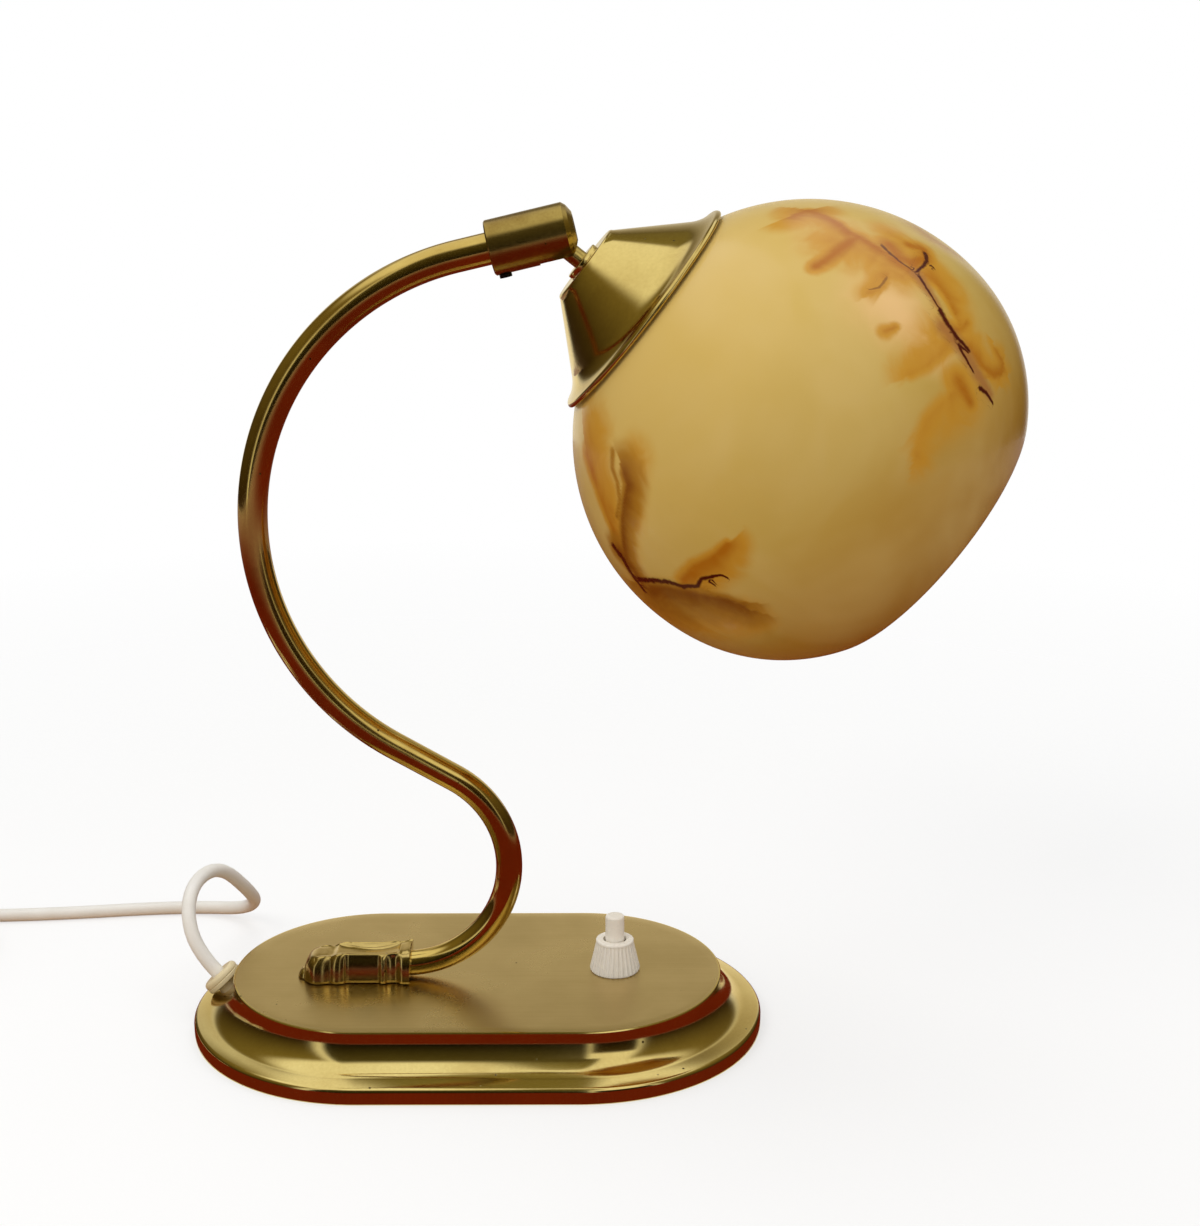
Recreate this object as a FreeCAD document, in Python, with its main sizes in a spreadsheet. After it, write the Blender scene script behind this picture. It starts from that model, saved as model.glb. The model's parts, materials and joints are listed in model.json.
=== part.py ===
import FreeCAD, Part
import math
import os
from types import SimpleNamespace

import Sketcher
from FreeCAD import Placement, Rotation, Vector

# A brass table lamp: a stepped oval foot, a cast paw that holds a swan-neck arm,
# a ball joint, a bell-shaped cap and a glass globe. Millimetres and degrees, +Z up.
# The origin is the middle of the foot, on the table. The arm's plane is parallel
# to XZ, and the globe looks towards +X.

SIZES = {
    # foot
    "foot_straight": 86.8,       # distance between the centres of the foot's round ends
    "plate_radius": 58.0,        # round end of the top plate
    "plate_height": 22.4,        # top of the plate above the table
    "sheet_wall": 1.2,           # thickness of the pressed brass
    "edge_bevel": 0.6,           # bright bevel round the plate
    "cove_radius": 13.0,         # hollow moulding under the plate
    "cove_drop": 1.6,            # straight lip above the cove
    "flange_width": 5.0,         # flange outside the cove
    "flange_slope": 12.0,        # degrees
    "shoulder_radius": 2.0,      # rolled outer edge
    "skirt_lift": 0.5,           # rim of the brass above the table
    "felt_height": 1.5,
    "cover_height": 1.2,         # steel bottom cover
    "cover_clearance": 0.25,
    "weight_height": 9.0,        # iron slab under the plate
    "weight_inset": 2.6,         # slab inside the plate's outline
    "post_radius": 5.0,          # posts under the slab that carry the bottom cover
    "post_spacing": 72.0,
    "cover_screw_length": 8.0,
    "screw_radius": 2.0,
    "screw_head_radius": 3.9,
    "screw_head_height": 1.0,
    "thread_clearance": 0.05,
    # arm and paw
    "arm_offset": 6.0,           # the arm stands in front of the foot's middle line
    "arm_start": -35.5,          # end of the tube inside the paw
    "arm_lift": 5.7,             # tube axis above the plate where it leaves the paw
    "arm_lead": 6.0,             # straight run out of the paw
    "low_bend_radius": 43.5,
    "low_bend_turn": 150.0,      # degrees
    "arm_middle": 27.0,          # straight run between the bends
    "high_bend_radius": 105.7,
    "high_bend_turn": 136.8,     # degrees
    "arm_tail": 25.2,            # straight run to the tube's end in the barrel
    "tube_insert": 12.4,         # tube inside the barrel
    "tube_low_radius": 5.2,      # the tube widens towards the joint
    "tube_high_radius": 6.2,
    "tube_wall": 1.0,
    "lead_radius": 3.3,          # flex inside the tube
    "lead_drop": 6.0,            # flex below the plate
    "lead_bend": 8.0,
    "paw_length": 48.6,
    "paw_reach": 75.8,           # toe tip in front of the foot's middle
    "paw_height": 14.6,
    "paw_foot_width": 20.0,
    "paw_top_width": 13.4,
    "paw_cavity_length": 15.0,
    "paw_cavity_width": 8.4,
    "paw_cavity_height": 10.4,
    "paw_screw_spacing": 9.0,
    # switch
    "switch_reach": 57.2,        # push switch to the right of the middle
    "bezel_radius": 10.5,
    "bezel_top_radius": 8.0,
    "bezel_height": 13.8,
    "bezel_bore": 4.8,
    "bezel_flutes": 26,
    "flute_radius": 0.62,
    "button_radius": 3.95,
    "button_height": 24.2,       # top of the button above the plate
    "button_travel": 3.5,
    "button_clearance": 0.08,
    "button_flange": 6.0,
    "neck_radius": 6.0,
    "neck_height": 11.0,
    "switch_radius": 11.0,
    "switch_depth": 17.4,        # body of the switch below the plate's underside
    "switch_floor": 2.4,
    "switch_chamber": 8.0,
    "switch_roof": 3.0,
    "spring_wire_radius": 0.45,
    "spring_radius": 4.4,
    "lug_radius": 1.9,
    "lug_length": 2.4,
    # joint
    "barrel_length": 29.9,
    "barrel_radius": 10.55,
    "barrel_nose": 3.6,          # rounded nose beyond the barrel's straight part
    "barrel_fit": 0.06,          # radial clearance on the tube
    "ball_back": 7.3,            # ball centre behind the barrel's straight end
    "ball_radius": 7.6,
    "ball_clearance": 0.06,
    "slot_length": 12.6,
    "slot_clearance": 0.5,
    "web_height": 1.4,
    "spring_height": 1.2,
    "stem_radius": 3.5,
    "stem_bore": 1.9,
    "stem_length": 15.6,         # ball centre to the cap's collar
    "set_screw_radius": 1.5,
    "set_screw_inset": 3.6,
    "head_tilt": 38.0,           # degrees below level
    # cap and globe, measured along the head's axis from the ball centre
    "collar_radius": 7.6,
    "collar_height": 1.7,
    "cap_top_radius": 15.8,
    "cap_flare_start": 42.0,
    "cap_flare_radius": 38.8,
    "cap_lip_start": 45.6,
    "cap_lip_radius": 46.0,
    "cap_wall": 1.0,
    "nut_radius": 8.2,
    "nut_height": 4.0,
    "stem_end": 28.0,
    "stem_flange_radius": 5.2,
    "holder_start": 26.0,
    "holder_length": 34.0,
    "holder_radius": 13.4,
    "holder_wall": 1.2,
    "core_length": 12.0,
    "ring_radius": 19.0,
    "ring_height": 4.5,
    "globe_top": 38.0,
    "globe_hole_radius": 14.2,
    "globe_crown_radius": 30.0,
    "globe_shoulder_start": 46.5,
    "globe_shoulder_radius": 42.9625,
    "globe_radius": 89.2,
    "globe_flank_offset": 1.8,   # centre of the flank's arc, off the axis
    "globe_turn_after": 14.4,    # from the widest place to where the glass turns in
    "globe_lower_radius": 72.0,
    "globe_lower_turn": 44.0,    # degrees
    "globe_lip_radius": 20.0,
    "globe_lip_turn": 32.0,      # degrees
    "globe_wall": 3.0,
    "bulb_radius": 22.5,
    "bulb_length": 78.0,
    "bulb_base_radius": 6.7,
    "bulb_base_length": 22.0,
    # cord
    "cord_radius": 3.0,
    "bush_radius": 8.0,
    "bush_height": 5.0,
    "bush_neck_radius": 4.6,
    "bush_neck_length": 5.0,
    "bush_azimuth": 173.0,       # degrees from +X
    "bush_rise": 47.6,           # degrees above level
    "bush_clearance": 0.25,
    "exit_run": 12.9,            # straight run out of the bush
    "coil_middle": 32.0,         # radius of the coil's middle turn
    "coil_pitch": 7.0,           # step from turn to turn
    "coil_layer": 6.8,           # step from layer to layer
    "coil_turns": 7.375,
    "coil_lead": 6.5,            # straight ends of the coil
    "coil_tail": 26.0,           # run from the coil down to the plug
    "plug_length": 35.0,
    "plug_width": 26.0,
    "plug_thickness": 13.8,
    "plug_sleeve": 18.0,
    "pin_radius": 2.0,
    "pin_length": 19.0,
    "pin_spacing": 18.6,
    "clamp_x": -60.0,
    "clamp_y": 14.0,
    "clamp_length": 9.0,
    "clamp_width": 13.0,
}

# The cord's free stretch after its straight run out of the bush, up and over, down behind
# the foot and along the table to the coil. The points are chosen along its fall.
CORD_ROUTE = [
    (-124.5, 17.7, 41.0),
    (-123.2, 33.1, 49.2),
    (-116.0, 53.1, 47.0),
    (-107.5, 72.3, 27.1),
    (-107.8, 89.4, 14.2),
    (-117.2, 102.1, 5.5),
    (-135.7, 109.6, 3.0),
    (-162.8, 108.0, 3.0),
    (-196.0, 103.0, 3.0),
    (-231.0, 100.0, 3.0),
    (-264.0, 100.0, 3.0),
]


class Size:
    """A number together with the sheet formula that gives it."""

    def __init__(self, value, text=None):
        self.value = float(value)
        self.text = text or repr(self.value)

    def joined(self, other, sign, result):
        return Size(result, "(%s %s %s)" % (self.text, sign, other.text))

    def __add__(self, other):
        other = as_size(other)
        return self.joined(other, "+", self.value + other.value)

    def __sub__(self, other):
        other = as_size(other)
        return self.joined(other, "-", self.value - other.value)

    def __mul__(self, other):
        other = as_size(other)
        return self.joined(other, "*", self.value * other.value)

    def __truediv__(self, other):
        other = as_size(other)
        return self.joined(other, "/", self.value / other.value)

    def __neg__(self):
        return Size(-self.value, "(0 - %s)" % self.text)

    def __radd__(self, other):
        return as_size(other) + self

    def __rsub__(self, other):
        return as_size(other) - self

    def __rmul__(self, other):
        return as_size(other) * self


def as_size(number):
    return number if isinstance(number, Size) else Size(number)


def cosine(angle):
    return Size(math.cos(math.radians(angle.value)), "cos(%s * 1 deg)" % angle.text)


def sine(angle):
    return Size(math.sin(math.radians(angle.value)), "sin(%s * 1 deg)" % angle.text)


def root(size):
    return Size(math.sqrt(size.value), "sqrt(%s)" % size.text)


doc = FreeCAD.newDocument("lamp")
sheet = doc.addObject("Spreadsheet::Sheet", "Sizes")
for row, (name, number) in enumerate(SIZES.items(), start=1):
    sheet.set("A%d" % row, name)
    sheet.set("B%d" % row, str(number))
    sheet.setAlias("B%d" % row, name)
doc.recompute()
S = SimpleNamespace(**{name: Size(number, "Sizes." + name) for name, number in SIZES.items()})
ZERO = Size(0)
PARTS = {}


# ---------------------------------------------------------------- drawing helpers

def new_body(label):
    body = doc.addObject("PartDesign::Body", label)
    body.Label = label
    PARTS[label] = body
    return body


def origin_plane(body, role):
    return next(item for item in body.Origin.OriginFeatures if item.Role == role)


def new_sketch(body, plane="XZ_Plane", offset=(0, 0, 0)):
    """A sketch on one of the body's origin planes, moved by an offset of sizes."""
    sketch = body.newObject("Sketcher::SketchObject", body.Label + "_sketch")
    sketch.AttachmentSupport = [(origin_plane(body, plane), "")]
    sketch.MapMode = "FlatFace"
    sizes = [as_size(part) for part in offset]
    sketch.AttachmentOffset = Placement(Vector(*[size.value for size in sizes]), Rotation())
    for axis, size in zip("xyz", sizes):
        if size.value:
            sketch.setExpression("AttachmentOffset.Base." + axis, size.text)
    return sketch


def bind(sketch, kind, places, size):
    """Adds one dimension to a sketch and ties it to the sheet."""
    number = sketch.addConstraint(Sketcher.Constraint(kind, *places, size.value))
    sketch.setExpression("Constraints[%d]" % number, size.text)


def hold(sketch, edge, end, across, up):
    """Fixes one corner of a sketch by its distances from the sketch's axes."""
    for size, kind, axis in ((across, "DistanceX", -2), (up, "DistanceY", -1)):
        if abs(size.value) < 1e-9:
            sketch.addConstraint(Sketcher.Constraint("PointOnObject", edge, end, axis))
        elif size.value > 0:
            bind(sketch, kind, (-1, 1, edge, end), size)
        else:
            bind(sketch, kind, (edge, end, -1, 1), -size)


def arc_between(start, end, radius, side):
    """The shorter arc from start to end; side +1 has its centre on the left of the way."""
    way = end - start
    reach = math.sqrt(max(radius ** 2 - (way.Length / 2) ** 2, 0))
    left = Vector(-way.y, way.x, 0).normalize()
    centre = (start + end) / 2 + left * reach * side
    middle = centre + ((start + end) / 2 - centre).normalize() * radius
    return Part.Arc(start, middle, end)


def draw(sketch, outline, closed=True):
    """Draws an outline: corners are (across, up) or (across, up, radius, side) after an arc."""
    corners = [[as_size(corner[0]), as_size(corner[1])] + list(corner[2:]) for corner in outline]
    spots = [Vector(corner[0].value, corner[1].value, 0) for corner in corners]
    edges = []
    first = 0 if closed else 1
    for index in range(first, len(corners)):
        start, end, corner = spots[index - 1], spots[index], corners[index]
        if len(corner) > 2:
            shape = arc_between(start, end, corner[2].value, corner[3])
            edge = sketch.addGeometry(shape)
            ends = (1, 2) if corner[3] > 0 else (2, 1)
            bind(sketch, "Radius", (edge,), corner[2])
        else:
            edge = sketch.addGeometry(Part.LineSegment(start, end))
            ends = (1, 2)
        edges.append((edge, ends, index))
    for place, (edge, ends, index) in enumerate(edges):
        hold(sketch, edge, ends[1], corners[index][0], corners[index][1])
        if place + 1 < len(edges) or closed:
            after, after_ends = edges[(place + 1) % len(edges)][:2]
            sketch.addConstraint(Sketcher.Constraint("Coincident", edge, ends[1], after, after_ends[0]))
    if not closed:
        edge, ends, index = edges[0]
        hold(sketch, edge, ends[0], corners[0][0], corners[0][1])
    return sketch


def draw_circle(sketch, radius, across=0, up=0):
    across, up = as_size(across), as_size(up)
    centre = Vector(across.value, up.value, 0)
    circle = sketch.addGeometry(Part.Circle(centre, Vector(0, 0, 1), radius.value))
    bind(sketch, "Radius", (circle,), radius)
    hold(sketch, circle, 3, across, up)
    return sketch


def revolve(body, outline, angle=360, offset=(0, 0, 0), kind="Revolution"):
    """Turns an outline of (radius, height) corners about the sketch's vertical axis."""
    sketch = draw(new_sketch(body, "XZ_Plane", offset), outline)
    turn = body.newObject("PartDesign::" + kind, body.Label + "_turn")
    turn.Profile = sketch
    turn.ReferenceAxis = (sketch, ["V_Axis"])
    turn.Angle = angle
    turn.Midplane = angle != 360
    return turn


def turned(label, outline):
    body = new_body(label)
    revolve(body, outline)
    return body


def pad(body, sketch, length, symmetric=False, reverse=False):
    feature = body.newObject("PartDesign::Pad", body.Label + "_pad")
    feature.Profile = sketch
    feature.Length = length.value
    feature.setExpression("Length", length.text)
    feature.SideType = "Symmetric" if symmetric else "One side"
    feature.Reversed = reverse
    return feature


def pocket(body, sketch, depth, symmetric=False, reverse=False):
    """Cuts a pocket and makes sure that it took material away."""
    before = volume(body)
    feature = body.newObject("PartDesign::Pocket", body.Label + "_pocket")
    feature.Profile = sketch
    feature.Length = depth.value
    feature.setExpression("Length", depth.text)
    feature.SideType = "Symmetric" if symmetric else "One side"
    feature.Reversed = reverse
    if volume(body) > before - 0.01:
        raise ValueError("a pocket in %s cuts nothing" % body.Label)
    return feature


def volume(body):
    doc.recompute()
    return body.Shape.Volume


def oval(label, end_radius, bottom, height):
    """A slab with the foot's outline: a rectangle with round ends."""
    body = new_body(label)
    sketch = new_sketch(body, "XY_Plane", (0, 0, bottom))
    half = S.foot_straight / 2
    draw(sketch, [
        (-half, -end_radius, end_radius, 1),
        (half, -end_radius),
        (half + end_radius, ZERO, end_radius, 1),
        (half, end_radius, end_radius, 1),
        (-half, end_radius),
        (-half - end_radius, ZERO, end_radius, 1),
    ])
    pad(body, sketch, height)
    return body


def drill(body, spots, radius, bottom, depth):
    """Round holes along Z from the height bottom upwards."""
    sketch = new_sketch(body, "XY_Plane", (0, 0, bottom))
    for across, up in spots:
        draw_circle(sketch, radius, across, up)
    pocket(body, sketch, depth, reverse=True)


def place(body, base, axis=Vector(0, 0, 1), angle=ZERO):
    """Puts a finished piece at base, turned about an axis through it."""
    sizes = [as_size(part) for part in base]
    body.Placement = Placement(Vector(*[size.value for size in sizes]), Rotation(axis, angle.value))
    for letter, size in zip("xyz", sizes):
        body.setExpression("Placement.Base." + letter, size.text)
    if angle.value:
        body.setExpression("Placement.Rotation.Angle", angle.text)


def fused(label, *shapes):
    feature = doc.addObject("Part::Feature", label)
    feature.Label = label
    feature.Shape = shapes[0].multiFuse(list(shapes[1:])) if len(shapes) > 1 else shapes[0]
    PARTS[label] = feature
    return feature


# ---------------------------------------------------------------- shared places

arm_y = -S.arm_offset
arm_z = S.plate_height + S.arm_lift
cuff_x = S.paw_length - S.paw_reach
plate_under = S.plate_height - S.sheet_wall
cove_centre_r = S.plate_radius + S.cove_radius
cove_centre_z = S.plate_height - S.cove_drop
foot_radius = (cove_centre_r - S.cove_radius * sine(S.flange_slope)
               + S.flange_width * cosine(S.flange_slope)
               - S.shoulder_radius * sine(S.flange_slope) + S.shoulder_radius)
cover_bottom = S.felt_height
weight_bottom = plate_under - S.weight_height
rise = S.low_bend_turn - S.high_bend_turn


def arm_corners():
    """The arm's axis in its plane: runs and bends from the paw to the barrel."""
    turn, end = S.low_bend_turn, rise
    low, high = S.low_bend_radius, S.high_bend_radius
    start = (S.arm_start, arm_z)
    first = (start[0] + S.arm_lead, start[1])
    second = (first[0] + low * sine(turn), first[1] + low * (1 - cosine(turn)))
    third = (second[0] + S.arm_middle * cosine(turn), second[1] + S.arm_middle * sine(turn))
    fourth = (third[0] + high * (sine(turn) - sine(end)),
              third[1] + high * (cosine(end) - cosine(turn)))
    fifth = (fourth[0] + S.arm_tail * cosine(end), fourth[1] + S.arm_tail * sine(end))
    return [start, first, second + (low, 1), third, fourth + (high, -1), fifth]


arm_end = arm_corners()[-1]
# The barrel's straight part starts where the tube goes in, and the ball lies near its far end.
barrel_start = (arm_end[0] - S.tube_insert * cosine(rise), arm_end[1] - S.tube_insert * sine(rise))
ball_along = S.barrel_length - S.ball_back
ball_centre = (barrel_start[0] + ball_along * cosine(rise), barrel_start[1] + ball_along * sine(rise))
nut_end = S.stem_length + S.collar_height + S.nut_height
Y_AXIS = Vector(0, 1, 0)


def on_barrel(body):
    """The piece's own Z axis lies along the barrel, from where the tube goes in."""
    place(body, (barrel_start[0], arm_y, barrel_start[1]), Y_AXIS, 90 - rise)


def on_head(body):
    """The piece's own Z axis lies along the head, from the ball centre."""
    place(body, (ball_centre[0], arm_y, ball_centre[1]), Y_AXIS, 90 + S.head_tilt)


# ---------------------------------------------------------------- foot

def foot_section(inner):
    """Half of the pressed foot's section from its axis outwards; inner is the wall's inside."""
    wall = S.sheet_wall if inner else ZERO
    slope = S.flange_slope
    cove = S.cove_radius + wall
    shoulder = S.shoulder_radius - wall
    flange_r = cove_centre_r - cove * sine(slope)
    flange_z = cove_centre_z - cove * cosine(slope)
    edge_r = flange_r + S.flange_width * cosine(slope)
    edge_z = flange_z - S.flange_width * sine(slope)
    skirt_r = edge_r - shoulder * sine(slope) + shoulder
    skirt_z = edge_z - shoulder * cosine(slope)
    top = S.plate_height - wall
    if inner:
        crown = [(S.plate_radius - wall, top)]
    else:
        crown = [(S.plate_radius - S.edge_bevel, top), (S.plate_radius, top - S.edge_bevel)]
    return crown + [
        (S.plate_radius - wall, cove_centre_z),
        (flange_r, flange_z, cove, 1),
        (edge_r, edge_z),
        (skirt_r, skirt_z, shoulder, -1),
        (skirt_r, S.skirt_lift),
    ]


def backwards(corners):
    """The same outline walked the other way, with its arcs on the right corners."""
    result = []
    for index in range(len(corners) - 1, -1, -1):
        spot = corners[index][:2]
        later = corners[index + 1] if index + 1 < len(corners) else ()
        result.append(tuple(spot) + ((later[2], -later[3]) if len(later) > 2 else ()))
    return result


def mirrored(corners):
    """The outline on the other side of the axis, walked from far to near."""
    result = []
    for corner in backwards(corners):
        arc = (corner[2], -corner[3]) if len(corner) > 2 else ()
        result.append((-corner[0], corner[1]) + arc)
    return result


def base_shell():
    """The foot is one pressing: flat plate, cove, flange and rolled skirt."""
    body = new_body("base_shell")
    outside, inside = foot_section(False), foot_section(True)
    middle = new_sketch(body, "YZ_Plane")
    draw(middle, mirrored(outside) + outside + backwards(inside) + backwards(mirrored(inside)))
    pad(body, middle, S.foot_straight, symmetric=True)
    half = [(ZERO, S.plate_height)] + outside + backwards(inside) + [(ZERO, plate_under)]
    end = revolve(body, half, 180, (S.foot_straight / 2, 0, 0))
    other = body.newObject("PartDesign::Mirrored", "other_end")
    other.Originals = [end]
    other.MirrorPlane = (origin_plane(body, "YZ_Plane"), [""])
    body.Tip = other
    spots = [(x, arm_y) for x in paw_screw_places()]
    drill(body, spots, S.screw_radius + S.thread_clearance, plate_under, S.sheet_wall)
    drill(body, [(lead_x(), arm_y)], S.lead_radius + 0.7, plate_under, S.sheet_wall)
    drill(body, [(S.switch_reach, ZERO)], S.neck_radius + S.thread_clearance, plate_under, S.sheet_wall)
    hole = body.newObject("Sketcher::SketchObject", "bush_hole")
    hole.AttachmentSupport = [(origin_plane(body, "XY_Plane"), "")]
    hole.MapMode = "FlatFace"
    hole.AttachmentOffset = Placement(numbers(bush_point(ZERO)),
                                      Rotation(bush_axis(), (90 - S.bush_rise).value))
    draw_circle(hole, S.bush_neck_radius + S.thread_clearance)
    pocket(body, hole, S.bush_neck_length)


def paw_screw_places():
    first = S.arm_start - S.paw_cavity_length - S.paw_screw_spacing / 2
    return [first, first - S.paw_screw_spacing]


def lead_x():
    return S.arm_start - S.lead_bend


def base_weight():
    """An iron slab lies under the plate, with posts for the bottom cover."""
    body = oval("base_weight", S.plate_radius - S.weight_inset, weight_bottom, S.weight_height)
    posts = new_sketch(body, "XY_Plane", (0, 0, cover_bottom + S.cover_height))
    for x in (-S.post_spacing / 2, S.post_spacing / 2):
        draw_circle(posts, S.post_radius, x)
    pad(body, posts, weight_bottom - cover_bottom - S.cover_height)
    spots = [(-S.post_spacing / 2, ZERO), (S.post_spacing / 2, ZERO)]
    bore = S.cover_screw_length + 1
    drill(body, spots, S.screw_radius + S.thread_clearance, cover_bottom + S.cover_height, bore)
    spots = [(x, arm_y) for x in paw_screw_places()]
    drill(body, spots, S.screw_radius + S.thread_clearance, weight_bottom, S.weight_height)
    drill(body, spots, S.screw_head_radius + 0.4, weight_bottom, S.weight_height / 2)
    drill(body, [(lead_x(), arm_y)], S.lead_radius + 0.7, weight_bottom, S.weight_height)
    drill(body, [(S.switch_reach, ZERO)], S.switch_radius + 1, weight_bottom, S.weight_height)


def bottom_cover():
    """A steel cover closes the foot, and a felt pad is glued under it."""
    radius = foot_radius - S.sheet_wall - S.cover_clearance
    spots = [(-S.post_spacing / 2, ZERO), (S.post_spacing / 2, ZERO)]
    cover = oval("bottom_cover", radius, cover_bottom, S.cover_height)
    drill(cover, spots, S.screw_radius + S.thread_clearance, cover_bottom, S.cover_height)
    felt = oval("felt_pad", radius, ZERO, S.felt_height)
    drill(felt, spots, S.screw_head_radius + 0.6, ZERO, S.felt_height)


def screws(label, spots, head_bottom, length):
    """Screws of one kind share a node: one body is a single solid, so they are joined here."""
    shapes = []
    for x, y in spots:
        head = Part.makeCylinder(S.screw_head_radius.value, S.screw_head_height.value,
                                 Vector(x.value, y.value, head_bottom.value))
        shank = Part.makeCylinder(S.screw_radius.value, (length + S.screw_head_height).value,
                                  Vector(x.value, y.value, head_bottom.value))
        slot = Part.makeBox(2 * S.screw_head_radius.value, 0.8, 0.5,
                            Vector(x.value - S.screw_head_radius.value, y.value - 0.4, head_bottom.value))
        shapes.append(head.fuse(shank).cut(slot).removeSplitter())
    feature = doc.addObject("Part::Feature", label)
    feature.Label = label
    feature.Shape = Part.makeCompound(shapes)
    PARTS[label] = feature


def foot_screws():
    spots = [(-S.post_spacing / 2, ZERO), (S.post_spacing / 2, ZERO)]
    screws("cover_screws", spots, cover_bottom - S.screw_head_height,
           S.cover_height + S.cover_screw_length)
    paw_spots = [(x, arm_y) for x in paw_screw_places()]
    head = weight_bottom + S.weight_height / 2 - S.screw_head_height
    screws("paw_screws", paw_spots, head, S.weight_height / 2 + S.sheet_wall + 5)


# ---------------------------------------------------------------- paw and arm

def paw_slice(body, x, foot, top, height):
    """One cross-section of the paw, at x along the foot; corners are cut at the top."""
    foot, top = foot / 2, top / 2
    sketch = new_sketch(body, "YZ_Plane", (0, 0, x))
    cut = height * 0.2
    low = S.plate_height
    draw(sketch, [
        (arm_y - foot, low), (arm_y + foot, low),
        (arm_y + top + cut * 0.5, low + height - cut), (arm_y + top - cut * 0.5, low + height),
        (arm_y - top + cut * 0.5, low + height), (arm_y - top - cut * 0.5, low + height - cut),
    ])
    return sketch


def paw_clasp():
    """A cast paw clasps the tube: a lofted back, toes in front and a flared cuff behind."""
    body = new_body("paw_clasp")
    toe_tip = -S.paw_reach
    foot, top, tall = S.paw_foot_width, S.paw_top_width, S.paw_height
    slices = [
        (toe_tip + 1.6, foot * 0.60, top * 0.55, tall * 0.40),
        (toe_tip + 6.5, foot * 0.88, top * 0.86, tall * 0.74),
        (toe_tip + 13.0, foot * 0.98, top * 1.02, tall * 0.88),
        (toe_tip + 22.0, foot * 0.90, top * 0.96, tall * 0.86),
        (toe_tip + 34.0, foot * 0.90, top * 0.94, tall * 0.88),
        (cuff_x - 4.5, foot * 0.93, top * 0.98, tall * 0.93),
        (cuff_x, foot, top * 1.04, tall),
    ]
    sketches = [paw_slice(body, *numbers) for numbers in slices]
    loft = body.newObject("PartDesign::AdditiveLoft", "paw_back")
    loft.Profile = sketches[0]
    loft.Sections = sketches[1:]
    loft.Ruled = False
    doc.recompute()
    under = new_sketch(body, "XY_Plane", (0, 0, S.plate_height))
    back, front = S.arm_start - S.paw_cavity_length, S.arm_start + 1
    side = S.paw_cavity_width / 2
    draw(under, [(back, arm_y - side), (front, arm_y - side), (front, arm_y + side), (back, arm_y + side)])
    pocket(body, under, S.paw_cavity_height, reverse=True)
    bore = new_sketch(body, "YZ_Plane", (0, 0, cuff_x + 1))
    draw_circle(bore, S.tube_low_radius + S.thread_clearance * 2, arm_y, arm_z)
    pocket(body, bore, cuff_x + 1 - S.arm_start)
    spots = [(x, arm_y) for x in paw_screw_places()]
    drill(body, spots, S.screw_radius + S.thread_clearance, S.plate_height, Size(6))


def arm_tube():
    """The swan-neck tube widens evenly from the paw to the barrel."""
    body = new_body("arm_tube")
    path = draw(new_sketch(body, "XZ_Plane", (0, 0, S.arm_offset)), arm_corners(), closed=False)
    start = new_sketch(body, "YZ_Plane", (0, 0, S.arm_start))
    draw_circle(start, S.tube_low_radius, arm_y, arm_z)
    draw_circle(start, S.tube_low_radius - S.tube_wall, arm_y, arm_z)
    end = body.newObject("Sketcher::SketchObject", "tube_end")
    end.AttachmentSupport = [(origin_plane(body, "YZ_Plane"), "")]
    end.MapMode = "FlatFace"
    # The end section is square to the tube's last run. The sketch's own axes are the foot's
    # Y and Z, so it is turned about its first axis by the rise.
    end.AttachmentOffset = Placement(Vector(arm_y.value, arm_end[1].value, arm_end[0].value),
                                     Rotation(Vector(1, 0, 0), -rise.value))
    end.setExpression("AttachmentOffset.Base.x", arm_y.text)
    end.setExpression("AttachmentOffset.Base.y", arm_end[1].text)
    end.setExpression("AttachmentOffset.Base.z", arm_end[0].text)
    draw_circle(end, S.tube_high_radius)
    draw_circle(end, S.tube_high_radius - S.tube_wall)
    pipe = body.newObject("PartDesign::AdditivePipe", "tube_pipe")
    pipe.Profile = start
    pipe.Spine = path
    pipe.Sections = [end]
    pipe.Transformation = "Multisection"
    pipe.Mode = "Standard"


def wire_edges(corners, y):
    """Part edges along an outline of runs and bends in a plane parallel to XZ."""
    spots = [Vector(corner[0].value, 0, corner[1].value) for corner in corners]
    edges = []
    for index in range(1, len(corners)):
        start, end = spots[index - 1], spots[index]
        if len(corners[index]) > 2:
            flat = arc_between(Vector(start.x, start.z, 0), Vector(end.x, end.z, 0),
                               corners[index][2].value, corners[index][3])
            middle = flat.value((flat.FirstParameter + flat.LastParameter) / 2)
            edges.append(Part.Arc(Vector(start.x, y, start.z), Vector(middle.x, y, middle.y),
                                  Vector(end.x, y, end.z)).toShape())
        else:
            edges.append(Part.LineSegment(Vector(start.x, y, start.z), Vector(end.x, y, end.z)).toShape())
    return edges


def feed_lead():
    """The flex comes up through the plate and runs inside the tube."""
    corners = arm_corners()
    top = (lead_x(), arm_z - S.lead_bend)
    bottom = (lead_x(), plate_under - S.lead_drop)
    path = Part.Wire(wire_edges([bottom, top, corners[0] + (S.lead_bend, -1)] + corners[1:], arm_y.value))
    section = Part.Wire(Part.makeCircle(S.lead_radius.value, Vector(bottom[0].value, arm_y.value,
                                                                  bottom[1].value), Vector(0, 0, 1)))
    fused("feed_lead", path.makePipeShell([section], True, False))


# ---------------------------------------------------------------- switch

def at_switch(body, height):
    place(body, (S.switch_reach, ZERO, height))


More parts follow.
